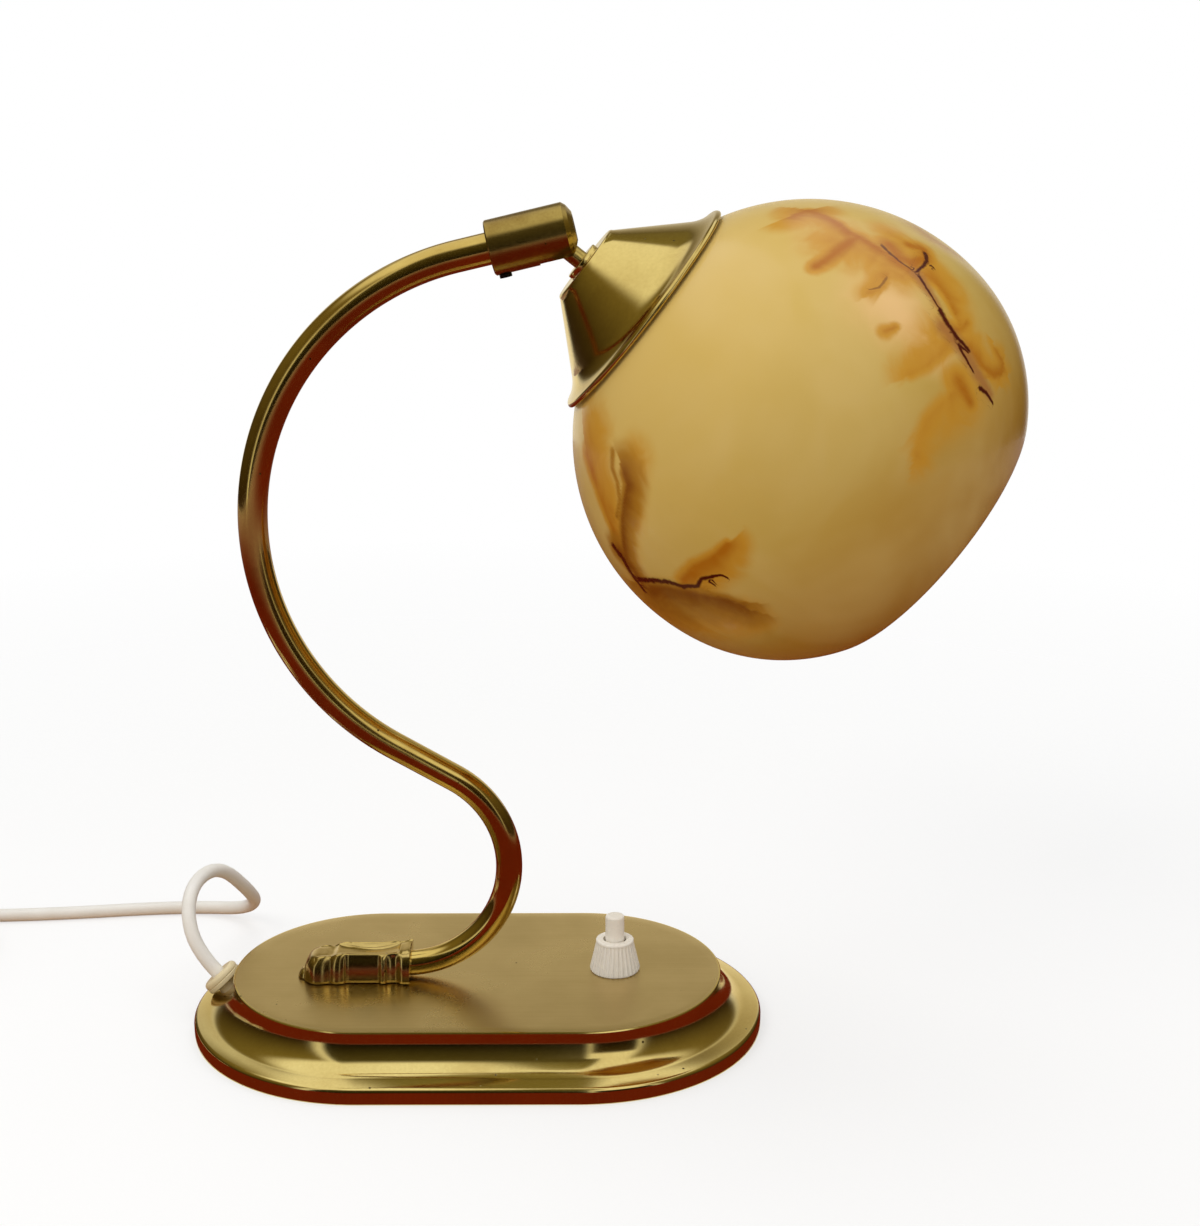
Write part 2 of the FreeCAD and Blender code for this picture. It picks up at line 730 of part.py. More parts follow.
def switch_body():
    """The switch's insulating body hangs under the plate; its neck stands through it."""
    depth, chamber = S.switch_depth, S.switch_chamber
    bore = S.button_radius + S.button_clearance
    body = turned("switch_body", [
        (ZERO, -depth), (S.switch_radius, -depth), (S.switch_radius, ZERO),
        (S.neck_radius, ZERO), (S.neck_radius, S.neck_height + S.sheet_wall),
        (bore, S.neck_height + S.sheet_wall), (bore, -S.switch_roof),
        (chamber, -S.switch_roof), (chamber, S.switch_floor - depth), (ZERO, S.switch_floor - depth),
    ])
    at_switch(body, plate_under)


def switch_bezel():
    """The fluted nut that clamps the switch to the plate."""
    bore = S.neck_radius + S.thread_clearance
    body = turned("switch_bezel", [
        (bore, ZERO), (S.bezel_radius - 0.5, ZERO), (S.bezel_radius, Size(0.5)),
        (S.bezel_radius, Size(1.3)), (S.bezel_top_radius, S.bezel_height - 1.6),
        (S.bezel_top_radius, S.bezel_height - 0.8),
        (S.bezel_top_radius - 0.8, S.bezel_height, Size(0.8), 1),
        (S.bezel_bore + 0.4, S.bezel_height), (S.bezel_bore, S.bezel_height - 0.4),
        (S.bezel_bore, S.neck_height + 0.2), (bore, S.neck_height + 0.2),
    ])
    sketch = draw_circle(new_sketch(body, "XY_Plane", (0, 0, 1.3)), S.flute_radius, S.bezel_radius)
    cut = pocket(body, sketch, S.bezel_height - 1.3 - 2.4, reverse=True)
    ring = body.newObject("PartDesign::PolarPattern", "flutes")
    ring.Originals = [cut]
    ring.Axis = (origin_plane(body, "Z_Axis"), [""])
    ring.Angle = 360
    ring.Occurrences = SIZES["bezel_flutes"]
    body.Tip = ring
    at_switch(body, S.plate_height)


def switch_button():
    """The push button, held in the body by its flange."""
    r, top = S.button_radius, S.button_height + S.sheet_wall
    flange_top = -S.switch_roof - 0.3
    body = turned("switch_button", [
        (ZERO, flange_top - 2), (S.button_flange, flange_top - 2), (S.button_flange, flange_top),
        (r, flange_top), (r, top - 1), (r - 1, top, Size(1), 1), (ZERO, top),
    ])
    at_switch(body, plate_under)


def switch_spring():
    """The spring under the button's flange, as the tube that its coils fill."""
    floor, top = S.switch_floor - S.switch_depth, -S.switch_roof - 2.3
    inner, outer = S.spring_radius - S.spring_wire_radius, S.spring_radius + S.spring_wire_radius
    body = turned("switch_spring", [(inner, floor), (outer, floor), (outer, top), (inner, top)])
    at_switch(body, plate_under)


def switch_lugs():
    """Two terminal screws stand out of the side of the switch's body."""
    z = (plate_under - S.switch_depth + 5).value
    length = S.lug_length.value
    lugs = []
    for side in (1, -1):
        start = Vector(S.switch_reach.value, side * S.switch_radius.value, z)
        lugs.append(Part.makeCylinder(S.lug_radius.value, length, start, Vector(0, side, 0)))
    feature = doc.addObject("Part::Feature", "switch_lugs")
    feature.Label = "switch_lugs"
    feature.Shape = Part.makeCompound(lugs)
    PARTS["switch_lugs"] = feature


# ---------------------------------------------------------------- ball joint

def joint_barrel():
    """The barrel slips over the tube, holds the ball in its nose and has a slot below."""
    bore = S.tube_high_radius + S.barrel_fit
    end, nose, r = S.barrel_length, S.barrel_nose, S.barrel_radius
    chamber = S.ball_radius + S.ball_clearance
    web = S.tube_insert + 0.5
    mouth = S.ball_radius * 0.70
    # The nose's inside lies on the ball, and stops at the mouth that the ball can't pass.
    seat = ball_along + root(chamber * chamber - mouth * mouth)
    body = turned("joint_barrel", [
        (bore, ZERO), (r - 0.5, ZERO), (r, Size(0.5)), (r, end),
        (r - 1.4, end + 1.6), (mouth + 1.0, end + nose - 0.4), (mouth, end + nose - 0.4),
        (mouth, seat),
        (chamber, ball_along, chamber, -1),
        (chamber, web + S.web_height), (bore - 2, web + S.web_height),
        (bore - 2, web), (bore, web),
    ])
    slot = new_sketch(body, "XZ_Plane")
    start = end - S.slot_length
    draw(slot, [(ZERO, ball_along), (chamber - 1, start), (r + 1, start), (r + 1, end + nose), (ZERO, end + nose)])
    pocket(body, slot, (S.stem_radius + S.slot_clearance) * 2, symmetric=True)
    hole = draw_circle(new_sketch(body, "YZ_Plane"), S.set_screw_radius + S.thread_clearance,
                       ZERO, S.set_screw_inset)
    pocket(body, hole, r + 1, reverse=True)
    on_barrel(body)


def set_screw():
    """A small black screw under the barrel grips the tube."""
    radius, head = S.set_screw_radius, S.set_screw_radius + 0.9
    inner = S.tube_high_radius + S.barrel_fit
    body = new_body("barrel_screw")
    shank = draw_circle(new_sketch(body, "YZ_Plane", (0, 0, inner)), radius, ZERO, S.set_screw_inset)
    pad(body, shank, S.barrel_radius - inner)
    cap = draw_circle(new_sketch(body, "YZ_Plane", (0, 0, S.barrel_radius)), head, ZERO, S.set_screw_inset)
    pad(body, cap, Size(1.3))
    on_barrel(body)


def ball_seat():
    """A cup behind the ball and a spring washer that keeps it tight."""
    chamber = S.ball_radius + S.ball_clearance
    outer = S.ball_radius - 0.1
    floor = S.tube_insert + 0.5 + S.web_height
    washer = turned("spring_washer", [
        (Size(4.4), floor), (outer, floor), (outer, floor + S.spring_height), (Size(4.4), floor + S.spring_height),
    ])
    on_barrel(washer)
    bottom = floor + S.spring_height
    inner = Size(4.4)
    cup_low = ball_along - root(chamber * chamber - inner * inner)
    rim = S.ball_radius - 1.3
    cup_high = ball_along - root(chamber * chamber - rim * rim)
    seat = turned("ball_seat", [
        (inner, bottom), (outer, bottom), (outer, cup_high), (rim, cup_high), (inner, cup_low, chamber, -1),
    ])
    on_barrel(seat)


def ball_stem():
    """The ball and its stem are one turned piece, bored for the flex."""
    ball, stem, bore = S.ball_radius, S.stem_radius, S.stem_bore
    neck = root(ball * ball - stem * stem)
    back = root(ball * ball - bore * bore)
    flange_low = nut_end + 0.2
    body = turned("ball_stem", [
        (bore, -back), (ball, ZERO, ball, 1), (stem, neck, ball, 1),
        (stem, flange_low), (S.stem_flange_radius, flange_low), (S.stem_flange_radius, flange_low + 1.5),
        (bore, flange_low + 1.5),
    ])
    on_head(body)


# ---------------------------------------------------------------- cap, holder and globe

def shade_cap():
    """The bell-shaped cap: collar, flat crown, straight flank and flared lip."""
    bore = S.stem_radius + S.thread_clearance
    w = S.cap_wall
    top, crown = S.stem_length, S.stem_length + S.collar_height
    body = turned("shade_cap", [
        (bore, top), (S.collar_radius - 0.5, top), (S.collar_radius, top + 0.5), (S.collar_radius, crown),
        (S.cap_top_radius - 1, crown), (S.cap_top_radius + 0.4, crown + 1.2, Size(1.5), -1),
        (S.cap_flare_radius, S.cap_flare_start), (S.cap_lip_radius, S.cap_lip_start, Size(14), 1),
        (S.cap_lip_radius, S.cap_lip_start + w),
        (S.cap_flare_radius - w, S.cap_flare_start + w * 0.6, Size(15), -1),
        (S.cap_top_radius - w, crown + w * 1.4), (bore, crown + w * 1.4),
    ])
    on_head(body)
    inside = crown + w * 1.4
    nut = turned("cap_nut", [
        (bore, inside), (S.nut_radius, inside), (S.nut_radius, nut_end), (bore, nut_end),
    ])
    on_head(nut)


def lamp_holder():
    """The lamp holder: an insulating shell with a core, and the ring that clamps the globe."""
    start, w, r = S.holder_start, S.holder_wall, S.holder_radius
    end = start + S.holder_length
    neck = S.stem_flange_radius + 0.3
    shell = turned("holder_shell", [
        (neck, nut_end), (S.nut_radius, nut_end), (r, start + 2), (r, end),
        (r - w, end), (r - w, start + 3), (neck, nut_end + 2),
    ])
    on_head(shell)
    socket = S.bulb_base_radius + 2
    core_start, core_end = start + 4, start + 4 + S.core_length
    core = turned("holder_core", [
        (ZERO, core_start), (r - w, core_start), (r - w, core_end), (socket, core_end),
        (socket, core_start + 4), (ZERO, core_start + 4),
    ])
    on_head(core)
    low, thread = S.globe_top + S.globe_wall + 0.3, r + S.thread_clearance
    ring = turned("shade_ring", [
        (thread, low), (S.ring_radius, low), (S.ring_radius, low + 1.5),
        (r + 2, low + 2), (r + 2, low + S.ring_height), (thread, low + S.ring_height),
    ])
    on_head(ring)


def globe_points(wall):
    """The globe's outline inside or outside, from its crown to the lip, as sketch corners."""
    full = S.globe_radius - S.globe_flank_offset
    flank = full - wall
    centre_r = S.globe_flank_offset
    begin = S.globe_shoulder_start
    across = S.globe_shoulder_radius - centre_r
    centre_s = begin + root(full * full - across * across)
    shoulder = (centre_r + root(flank * flank - (begin - centre_s) * (begin - centre_s)), begin)
    turn_sine = S.globe_turn_after / full
    turn_cosine = root(1 - turn_sine * turn_sine)
    belly = (centre_r + flank, centre_s)
    turn = (centre_r + flank * turn_cosine, centre_s + flank * turn_sine)
    low_r = centre_r + (full - S.globe_lower_radius) * turn_cosine
    low_s = centre_s + (full - S.globe_lower_radius) * turn_sine
    first = Size(math.degrees(math.asin(turn_sine.value)), "(asin(%s) / 1 deg)" % turn_sine.text)
    second = first + S.globe_lower_turn
    third = second + S.globe_lip_turn
    lower = S.globe_lower_radius - wall
    corner = (low_r + lower * cosine(second), low_s + lower * sine(second))
    lip_r = low_r + (S.globe_lower_radius - S.globe_lip_radius) * cosine(second)
    lip_s = low_s + (S.globe_lower_radius - S.globe_lip_radius) * sine(second)
    lip = S.globe_lip_radius - wall
    mouth = (lip_r + lip * cosine(third), lip_s + lip * sine(third))
    return [shoulder, belly + (flank, 1), turn + (flank, 1), corner + (lower, 1), mouth + (lip, 1)]


def glass_globe():
    """The blown globe: a small hole at its crown for the holder and a wide open mouth."""
    outside, inside = globe_points(ZERO), globe_points(S.globe_wall)
    top = S.globe_top
    body = turned("glass_globe", [
        (S.globe_hole_radius, top), (S.globe_crown_radius, top + 0.6)] + outside
        + backwards(inside) + [(S.globe_crown_radius - 2, top + S.globe_wall + 0.4),
                               (S.globe_hole_radius, top + S.globe_wall)])
    on_head(body)


def bulb():
    """A round bulb with a small screw base."""
    seat = S.holder_start + 8.3
    r, base = S.bulb_radius, S.bulb_base_radius
    tip = seat + S.bulb_length
    neck = seat + S.bulb_base_length
    centre = tip - r
    glass = turned("bulb_glass", [
        (ZERO, neck), (base - 0.2, neck), (base + 1.6, neck + 6),
        (r * 0.8, centre - r * 0.6), (r, centre, r, 1), (ZERO, tip, r, 1),
    ])
    on_head(glass)
    cap = turned("bulb_base", [
        (ZERO, seat), (Size(2.2), seat), (Size(2.6), seat + 1), (base - 1, seat + 2.5), (base, seat + 3),
        (base, neck), (ZERO, neck),
    ])
    on_head(cap)


# ---------------------------------------------------------------- cord

def bush_direction():
    """The way out of the foot along the bush."""
    rise_cosine = cosine(S.bush_rise)
    return (rise_cosine * cosine(S.bush_azimuth), rise_cosine * sine(S.bush_azimuth), sine(S.bush_rise))


def bush_point(along):
    """A point on the bush's axis, measured from the seat that bridges the cove."""
    depth = root(S.cove_radius * S.cove_radius - S.bush_radius * S.bush_radius) - S.bush_clearance
    seat_r = cove_centre_r - depth * cosine(S.bush_rise)
    seat_z = cove_centre_z - depth * sine(S.bush_rise)
    way = bush_direction()
    return (-S.foot_straight / 2 + seat_r * cosine(S.bush_azimuth) + along * way[0],
            seat_r * sine(S.bush_azimuth) + along * way[1], seat_z + along * way[2])


def bush_axis():
    turn = math.radians(SIZES["bush_azimuth"] + 90)
    return Vector(math.cos(turn), math.sin(turn), 0)


def cord_bush():
    """The bush that the cord comes out of: a disc across the cove, with a neck into the foot."""
    neck, r, top = S.bush_neck_radius, S.bush_radius, S.bush_height
    bore = S.cord_radius
    body = turned("cord_bush", [
        (bore, -S.bush_neck_length), (neck, -S.bush_neck_length), (neck, ZERO),
        (r - 0.6, ZERO), (r, Size(0.8)), (r, top - 2),
        (r - 2, top, Size(2), 1), (bore, top),
    ])
    place(body, bush_point(ZERO), bush_axis(), 90 - S.bush_rise)


def numbers(point):
    return Vector(*[as_size(part).value for part in point])


def rounded_path(points, label):
    """Straight runs joined by tangent arcs, each as large as its two runs allow."""
    edges, here, length, radii = [], points[0], 0.0, []
    for before, corner, after in zip(points, points[1:], points[2:]):
        arriving, leaving = corner - before, after - corner
        turn = arriving.getAngle(leaving)
        cut = 0.45 * min(arriving.Length, leaving.Length)
        arriving.normalize()
        leaving.normalize()
        first, last = corner - arriving * cut, corner + leaving * cut
        radius = cut / math.tan(turn / 2)
        inward = (leaving - arriving).normalize()
        middle = corner + inward * (math.hypot(radius, cut) - radius)
        edges.append(Part.LineSegment(here, first).toShape())
        edges.append(Part.Arc(first, middle, last).toShape())
        length += (first - here).Length + radius * turn
        radii.append(radius)
        here = last
    edges.append(Part.LineSegment(here, points[-1]).toShape())
    length += (points[-1] - here).Length
    print("%s: %.0f mm long, bends of %s mm" % (label, length, ", ".join("%.0f" % r for r in radii)))
    return Part.Wire(edges), length


def tube(label, wire, start, way, length):
    """A solid cord along a wire; its volume has to be its section times its length."""
    radius = SIZES["cord_radius"]
    section = Part.Wire(Part.makeCircle(radius, start, way))
    solid = wire.makePipeShell([section], True, False)
    if not solid.Solids:
        solid = Part.Solid(solid)
    ratio = solid.Volume / (math.pi * radius ** 2 * length)
    if abs(ratio - 1) > 0.01:
        raise ValueError("%s has %.3f of its volume" % (label, ratio))
    fused(label, solid)


def coil_start():
    return Vector(*CORD_ROUTE[-1])


def cord():
    """The free stretch from the bush to the coil."""
    way = numbers(bush_direction())
    exit_point = numbers(bush_point(S.bush_height))
    points = [exit_point, exit_point + way * SIZES["exit_run"]]
    points += [Vector(*point) for point in CORD_ROUTE]
    wire, length = rounded_path(points, "cord")
    tube("cord", wire, exit_point, way, length)
    return length


def inner_cord():
    """Inside the foot the cord runs through a clamp to the switch."""
    way = numbers(bush_direction())
    exit_point = numbers(bush_point(S.bush_height))
    level = SIZES["felt_height"] + SIZES["cover_height"] + SIZES["cord_radius"] + 1
    x, y = SIZES["clamp_x"], SIZES["clamp_y"]
    fall = (exit_point.z - level) / way.z
    points = [
        exit_point, exit_point - way * fall, Vector(x - 16, y, level), Vector(x + 18, y, level),
        Vector(x + 52, y + 3.5, level), Vector(x + 84, y + 2, level),
        Vector(SIZES["switch_reach"] - 14, y, level + 0.8),
    ]
    wire, length = rounded_path(points, "inner_cord")
    tube("inner_cord", wire, exit_point, way, length)
    top, low = weight_bottom.value, level - SIZES["cord_radius"] - 0.4
    block = Part.makeBox(SIZES["clamp_length"], SIZES["clamp_width"], top - low,
                         Vector(x - SIZES["clamp_length"] / 2, y - SIZES["clamp_width"] / 2, low))
    hole = Part.makeCylinder(SIZES["cord_radius"] + 0.02, 40, Vector(x - 20, y, level), Vector(1, 0, 0))
    fused("cord_clamp", block.cut(hole))


def coil_spot(turns):
    """A point of the coil after so many turns: in on the lower layer, out on the upper one."""
    middle = SIZES["coil_turns"] / 2
    inner = SIZES["coil_middle"] - SIZES["coil_pitch"] * middle / 2
    radius = inner + SIZES["coil_pitch"] * math.hypot(turns - middle, 0.15)
    outer = inner + SIZES["coil_pitch"] * math.hypot(middle, 0.15)
    climb = min(max((turns - middle) / 0.5 + 0.5, 0), 1)
    height = SIZES["coil_layer"] * climb * climb * (3 - 2 * climb)
    angle = math.pi / 2 + 2 * math.pi * turns
    start = coil_start()
    return Vector(start.x - SIZES["coil_lead"] + radius * math.cos(angle),
                  start.y - outer + radius * math.sin(angle), start.z + height)


def coil_way(turns):
    step = 0.001
    return (coil_spot(turns + step) - coil_spot(turns - step)).normalize()


def biarc(start, start_way, end, end_way):
    """Two arcs that meet smoothly and leave and arrive along the given ways."""
    gap = start - end
    ways = start_way + end_way
    a = 2 * (start_way.dot(end_way) - 1)
    b = 2 * gap.dot(ways)
    c = gap.dot(gap)
    reach = 2 * c / (math.sqrt(b * b - 4 * a * c) - b)
    join = (start + start_way * reach + end - end_way * reach) / 2
    edges = []
    for one, way, other in ((start, start_way, join), (end, end_way * -1, join)):
        chord = other - one
        flat = chord.normalize()
        across = (way - flat * way.dot(flat)).normalize()
        half = math.acos(max(-1, min(1, way.dot(flat))))
        length = (other - one).Length
        middle = (one + other) / 2 + across * (length / 2 * math.tan(half / 2))
        edges.append(Part.Arc(one, middle, other).toShape() if one is start
                     else Part.Arc(other, middle, one).toShape())
    return edges


def coil_ways():
    """Points and ways every quarter turn, then down to the table where the plug lies."""
    quarters = int(SIZES["coil_turns"] * 4)
    turns = [number / 4 for number in range(quarters + 1)]
    if SIZES["coil_turns"] - turns[-1] > 0.01:
        turns.append(SIZES["coil_turns"])
    nodes = [(coil_spot(turn), coil_way(turn)) for turn in turns]
    nodes[0] = (nodes[0][0], Vector(-1, 0, 0))
    spot, way = nodes[-1]
    way = Vector(way.x, way.y, 0).normalize()
    nodes[-1] = (spot, way)
    low = spot + way * SIZES["coil_tail"]
    low.z = SIZES["plug_thickness"] / 2
    nodes.append((low, way))
    return nodes


def least_gap(points, radius):
    """The least free space between turns, between points further apart than a third of a turn."""
    least, skip = 1e9, 60
    for number, point in enumerate(points):
        for other in points[number + skip:]:
            least = min(least, (point - other).Length)
    return least - 2 * radius


def cord_coil():
    """The rest of the cord is put away as a flat coil of two layers."""
    nodes = coil_ways()
    first, last = nodes[0], nodes[-1]
    lead = SIZES["coil_lead"]
    edges = [Part.LineSegment(coil_start(), first[0]).toShape()]
    for (one, way), (other, other_way) in zip(nodes, nodes[1:]):
        edges += biarc(one, way, other, other_way)
    end = last[0] + last[1] * lead
    edges.append(Part.LineSegment(last[0], end).toShape())
    wire = Part.Wire(edges)
    tube("cord_coil", wire, coil_start(), Vector(-1, 0, 0), wire.Length)
    spots = [coil_spot(number / 120) for number in range(int(SIZES["coil_turns"] * 120))]
    print("cord_coil: %.0f mm long, least gap to itself %.2f mm"
          % (wire.Length, least_gap(spots, SIZES["cord_radius"])))
    return wire.Length, end, last[1]


def plug(end, way):
    """A flat two-pin plug lies on the table where the coil ends."""
    width, thick, long = SIZES["plug_width"], SIZES["plug_thickness"], SIZES["plug_length"]
    sleeve, cord_r = SIZES["plug_sleeve"], SIZES["cord_radius"]
    cone = Part.makeCone(cord_r + 1.2, cord_r + 3.2, sleeve, Vector(0, 0, 0), Vector(1, 0, 0))
    outline = Part.makePolygon([
        Vector(sleeve - 2, -5.5, 0), Vector(sleeve + 9, -width / 2, 0), Vector(sleeve + long, -width / 2 + 1, 0),
        Vector(sleeve + long, width / 2 - 1, 0), Vector(sleeve + 9, width / 2, 0), Vector(sleeve - 2, 5.5, 0),
        Vector(sleeve - 2, -5.5, 0)])
    case = Part.Face(outline).extrude(Vector(0, 0, thick))
    case.translate(Vector(0, 0, -thick / 2))
    edges = [edge for edge in case.Edges if abs(edge.BoundBox.ZLength) < 1e-6]
    case = case.makeFillet(2.6, edges)
    body = case.fuse(cone).removeSplitter()
    turn = Placement(end, Rotation(Vector(1, 0, 0), way))
    body.Placement = turn
    fused("plug_body", body)
    pins = []
    for side in (1, -1):
        start = Vector(sleeve + long, side * SIZES["pin_spacing"] / 2, 0)
        pin = Part.makeCylinder(SIZES["pin_radius"], SIZES["pin_length"], start, Vector(1, 0, 0))
        tip = [edge for edge in pin.Edges if edge.BoundBox.XMin > start.x + SIZES["pin_length"] - 0.1]
        pin = pin.makeFillet(SIZES["pin_radius"] * 0.6, tip[:1])
        pin.Placement = turn.multiply(pin.Placement)
        pins.append(pin)
    feature = doc.addObject("Part::Feature", "plug_pins")
    feature.Label = "plug_pins"
    feature.Shape = Part.makeCompound(pins)
    PARTS["plug_pins"] = feature


def build():
    base_shell()
    base_weight()
    bottom_cover()
    foot_screws()
    paw_clasp()
    arm_tube()
    feed_lead()
    switch_body()
    switch_bezel()
    switch_button()
    switch_spring()
    switch_lugs()
    joint_barrel()
    set_screw()
    ball_seat()
    ball_stem()
    shade_cap()
    lamp_holder()
    glass_globe()
    bulb()
    cord_bush()
    inner_cord()
    stretch = cord()
    wound, end, way = cord_coil()
    plug(end, way)
    print("cord: %.2f m in all" % ((stretch + wound) / 1000))


def check():
    """Every object is sound before anything is written."""
    doc.recompute()
    for item in doc.Objects:
        if "Invalid" in item.State or "Error" in item.State:
            raise ValueError("%s failed: %s" % (item.Label, item.State))
    for label, part in PARTS.items():
        shape = part.Shape
        if shape.isNull() or not shape.isValid() or shape.Volume <= 0:
            raise ValueError("%s has no sound shape" % label)
        print("%-16s %2d solids %9.1f mm3" % (label, len(shape.Solids), shape.Volume))


def write():
    os.makedirs("parts", exist_ok=True)
    for label, part in PARTS.items():
        part.Shape.exportStep("parts/%s.step" % label)


build()
check()
write()
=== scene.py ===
import json
import math

import bmesh
import bpy
import numpy as np
from mathutils import Matrix, Vector

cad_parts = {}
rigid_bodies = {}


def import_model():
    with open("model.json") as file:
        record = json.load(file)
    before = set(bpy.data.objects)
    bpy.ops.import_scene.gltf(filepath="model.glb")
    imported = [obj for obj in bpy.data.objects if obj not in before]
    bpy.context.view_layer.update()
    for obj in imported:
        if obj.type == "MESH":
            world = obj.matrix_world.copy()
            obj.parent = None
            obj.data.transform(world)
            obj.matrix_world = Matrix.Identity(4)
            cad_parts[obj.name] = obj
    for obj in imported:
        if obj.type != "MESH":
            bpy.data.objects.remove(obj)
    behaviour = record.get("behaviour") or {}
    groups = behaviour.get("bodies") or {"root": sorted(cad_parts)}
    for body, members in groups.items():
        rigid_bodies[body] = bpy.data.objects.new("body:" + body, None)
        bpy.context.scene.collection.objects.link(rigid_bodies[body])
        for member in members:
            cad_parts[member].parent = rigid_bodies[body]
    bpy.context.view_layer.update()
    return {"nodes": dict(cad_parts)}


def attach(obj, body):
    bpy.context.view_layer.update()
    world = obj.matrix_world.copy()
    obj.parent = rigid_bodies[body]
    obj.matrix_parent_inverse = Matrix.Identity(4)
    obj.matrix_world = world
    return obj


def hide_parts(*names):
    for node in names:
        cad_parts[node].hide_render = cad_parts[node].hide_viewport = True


for leftover in list(bpy.data.objects):
    bpy.data.objects.remove(leftover)
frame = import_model()

# Lengths are written in millimetres, as on a drawing, and turned to metres where a mesh is made.
MM = 0.001


# ---------------------------------------------------------------- materials

def linear(colour):
    """An sRGB hex colour as the linear one that Blender works in."""
    parts = [int(colour[n:n + 2], 16) / 255 for n in (1, 3, 5)]
    return (*(p / 12.92 if p <= 0.04045 else ((p + 0.055) / 1.055) ** 2.4 for p in parts), 1.0)


def add(tree, kind, sockets=None, ramp=None, **settings):
    """Adds a node with its settings.

    Each socket takes a value, a hex colour, another node's output, or a node for its first output.
    """
    node = tree.nodes.new(kind)
    for key, value in settings.items():
        setattr(node, key, value)
    if ramp:
        while len(node.color_ramp.elements) < len(ramp):
            node.color_ramp.elements.new(0.5)
        for stop, (place, colour) in zip(node.color_ramp.elements, ramp):
            stop.position, stop.color = place, linear(colour)
    for key, value in (sockets or {}).items():
        if isinstance(value, bpy.types.Node):
            value = value.outputs[0]
        if isinstance(value, bpy.types.NodeSocket):
            tree.links.new(value, node.inputs[key])
        else:
            colour = isinstance(value, str) and value.startswith("#")
            node.inputs[key].default_value = linear(value) if colour else value
    return node


def new_material(name):
    """An empty material and its node tree."""
    material = bpy.data.materials.new(name)
    material.use_nodes = True
    material.node_tree.nodes.clear()
    return material, material.node_tree


def finish_material(tree, **sockets):
    """The shader itself; the names are its sockets', with underscores for spaces."""
    sockets = {key.replace("_", " "): value for key, value in sockets.items()}
    add(tree, "ShaderNodeOutputMaterial", {"Surface": add(tree, "ShaderNodeBsdfPrincipled", sockets)})


# Features per metre: tarnish 40 mm across, a bloom of 2.4 mm and spots 5 mm apart.
TARNISH, BLOOM, SPOTS = 26.0, 420.0, 190.0


def brass(name, light, dark, roughness, grain, depth, pits, cloud):
    """Brass under thin old lacquer.

    grain gives the finest scratches along each axis, in lines per metre, and depth is theirs in
    millimetres; pits is the share of spots where the lacquer has failed; cloud is how far its
    tarnish changes the colour over a few centimetres.
    """
    material, tree = new_material(name)
    place = add(tree, "ShaderNodeTexCoord").outputs["Object"]
    stretched = add(tree, "ShaderNodeMapping", {"Vector": place, "Scale": grain})
    lines = add(tree, "ShaderNodeTexNoise", {
        "Vector": stretched, "Scale": 1.0, "Detail": 2.0, "Roughness": 0.5})
    tarnish = add(tree, "ShaderNodeTexNoise", {
        "Vector": place, "Scale": TARNISH, "Detail": 4.0, "Roughness": 0.5, "Distortion": 0.2})
    fine = add(tree, "ShaderNodeTexNoise", {
        "Vector": place, "Scale": BLOOM, "Detail": 3.0, "Roughness": 0.7})
    specks = add(tree, "ShaderNodeTexVoronoi", {"Vector": place, "Scale": SPOTS})
    pit = add(tree, "ShaderNodeMapRange", {
        "Value": specks.outputs["Distance"], "From Min": 0.05, "From Max": 0.11,
        "To Min": 1.0, "To Max": 0.0})
    chance = add(tree, "ShaderNodeSeparateColor", {"Color": specks.outputs["Color"]})
    rare = add(tree, "ShaderNodeMath", {0: chance, 1: 1 - pits}, operation="GREATER_THAN")
    pit = add(tree, "ShaderNodeMath", {0: pit, 1: rare}, operation="MULTIPLY")
    mottled = add(tree, "ShaderNodeMapRange", {
        "Value": tarnish, "From Min": 0.36, "From Max": 0.68,
        "To Min": 0.0, "To Max": cloud})
    streaked = add(tree, "ShaderNodeMath", {0: lines, 1: 0.30, 2: mottled}, operation="MULTIPLY_ADD")
    colour = add(tree, "ShaderNodeMix", {"Factor": streaked, 6: light, 7: dark}, data_type="RGBA")
    spotted = add(tree, "ShaderNodeMix", {
        "Factor": pit, 6: colour.outputs[2], 7: "#3A2410"}, data_type="RGBA")
    rough = add(tree, "ShaderNodeMapRange", {
        "Value": tarnish, "From Min": 0.3, "From Max": 0.75,
        "To Min": roughness * 0.75, "To Max": roughness * 1.5})
    rough = add(tree, "ShaderNodeMath", {0: fine, 1: roughness * 0.3, 2: rough}, operation="MULTIPLY_ADD")
    rough = add(tree, "ShaderNodeMath", {0: pit, 1: 0.35, 2: rough}, operation="MULTIPLY_ADD")
    relief = add(tree, "ShaderNodeMath", {0: pit, 1: -2.5, 2: lines}, operation="MULTIPLY_ADD")
    bump = add(tree, "ShaderNodeBump", {"Height": relief, "Strength": 1.0, "Distance": depth * MM})
    finish_material(tree, Base_Color=spotted.outputs[2], Metallic=1.0, Roughness=rough,
                    Normal=bump)
    return material


# The lines of these brasses are 0.7 to 1.4 mm apart, which is coarser than real ones, so that they
# still show from a metre away.

# The plate's top was brushed along its length with an abrasive belt: satin, olive-tan, with lines
# about 0.8 mm apart and 60 mm long, and a few pits where the lacquer has failed.
brushed_plate = brass("brass_belt_brushed_lacquered", "#DCC489", "#B59C5C", 0.24,
                      (16, 1300, 1300), 0.003, 0.05, 0.25)
# The rest of the foot was pressed and buffed: almost a mirror, with faint upright buffing lines
# about 1.1 mm apart, and more pits than the plate.
buffed_foot = brass("brass_pressed_buffed", "#EAD58A", "#B99848", 0.09,
                    (900, 900, 120), 0.0012, 0.16, 0.3)
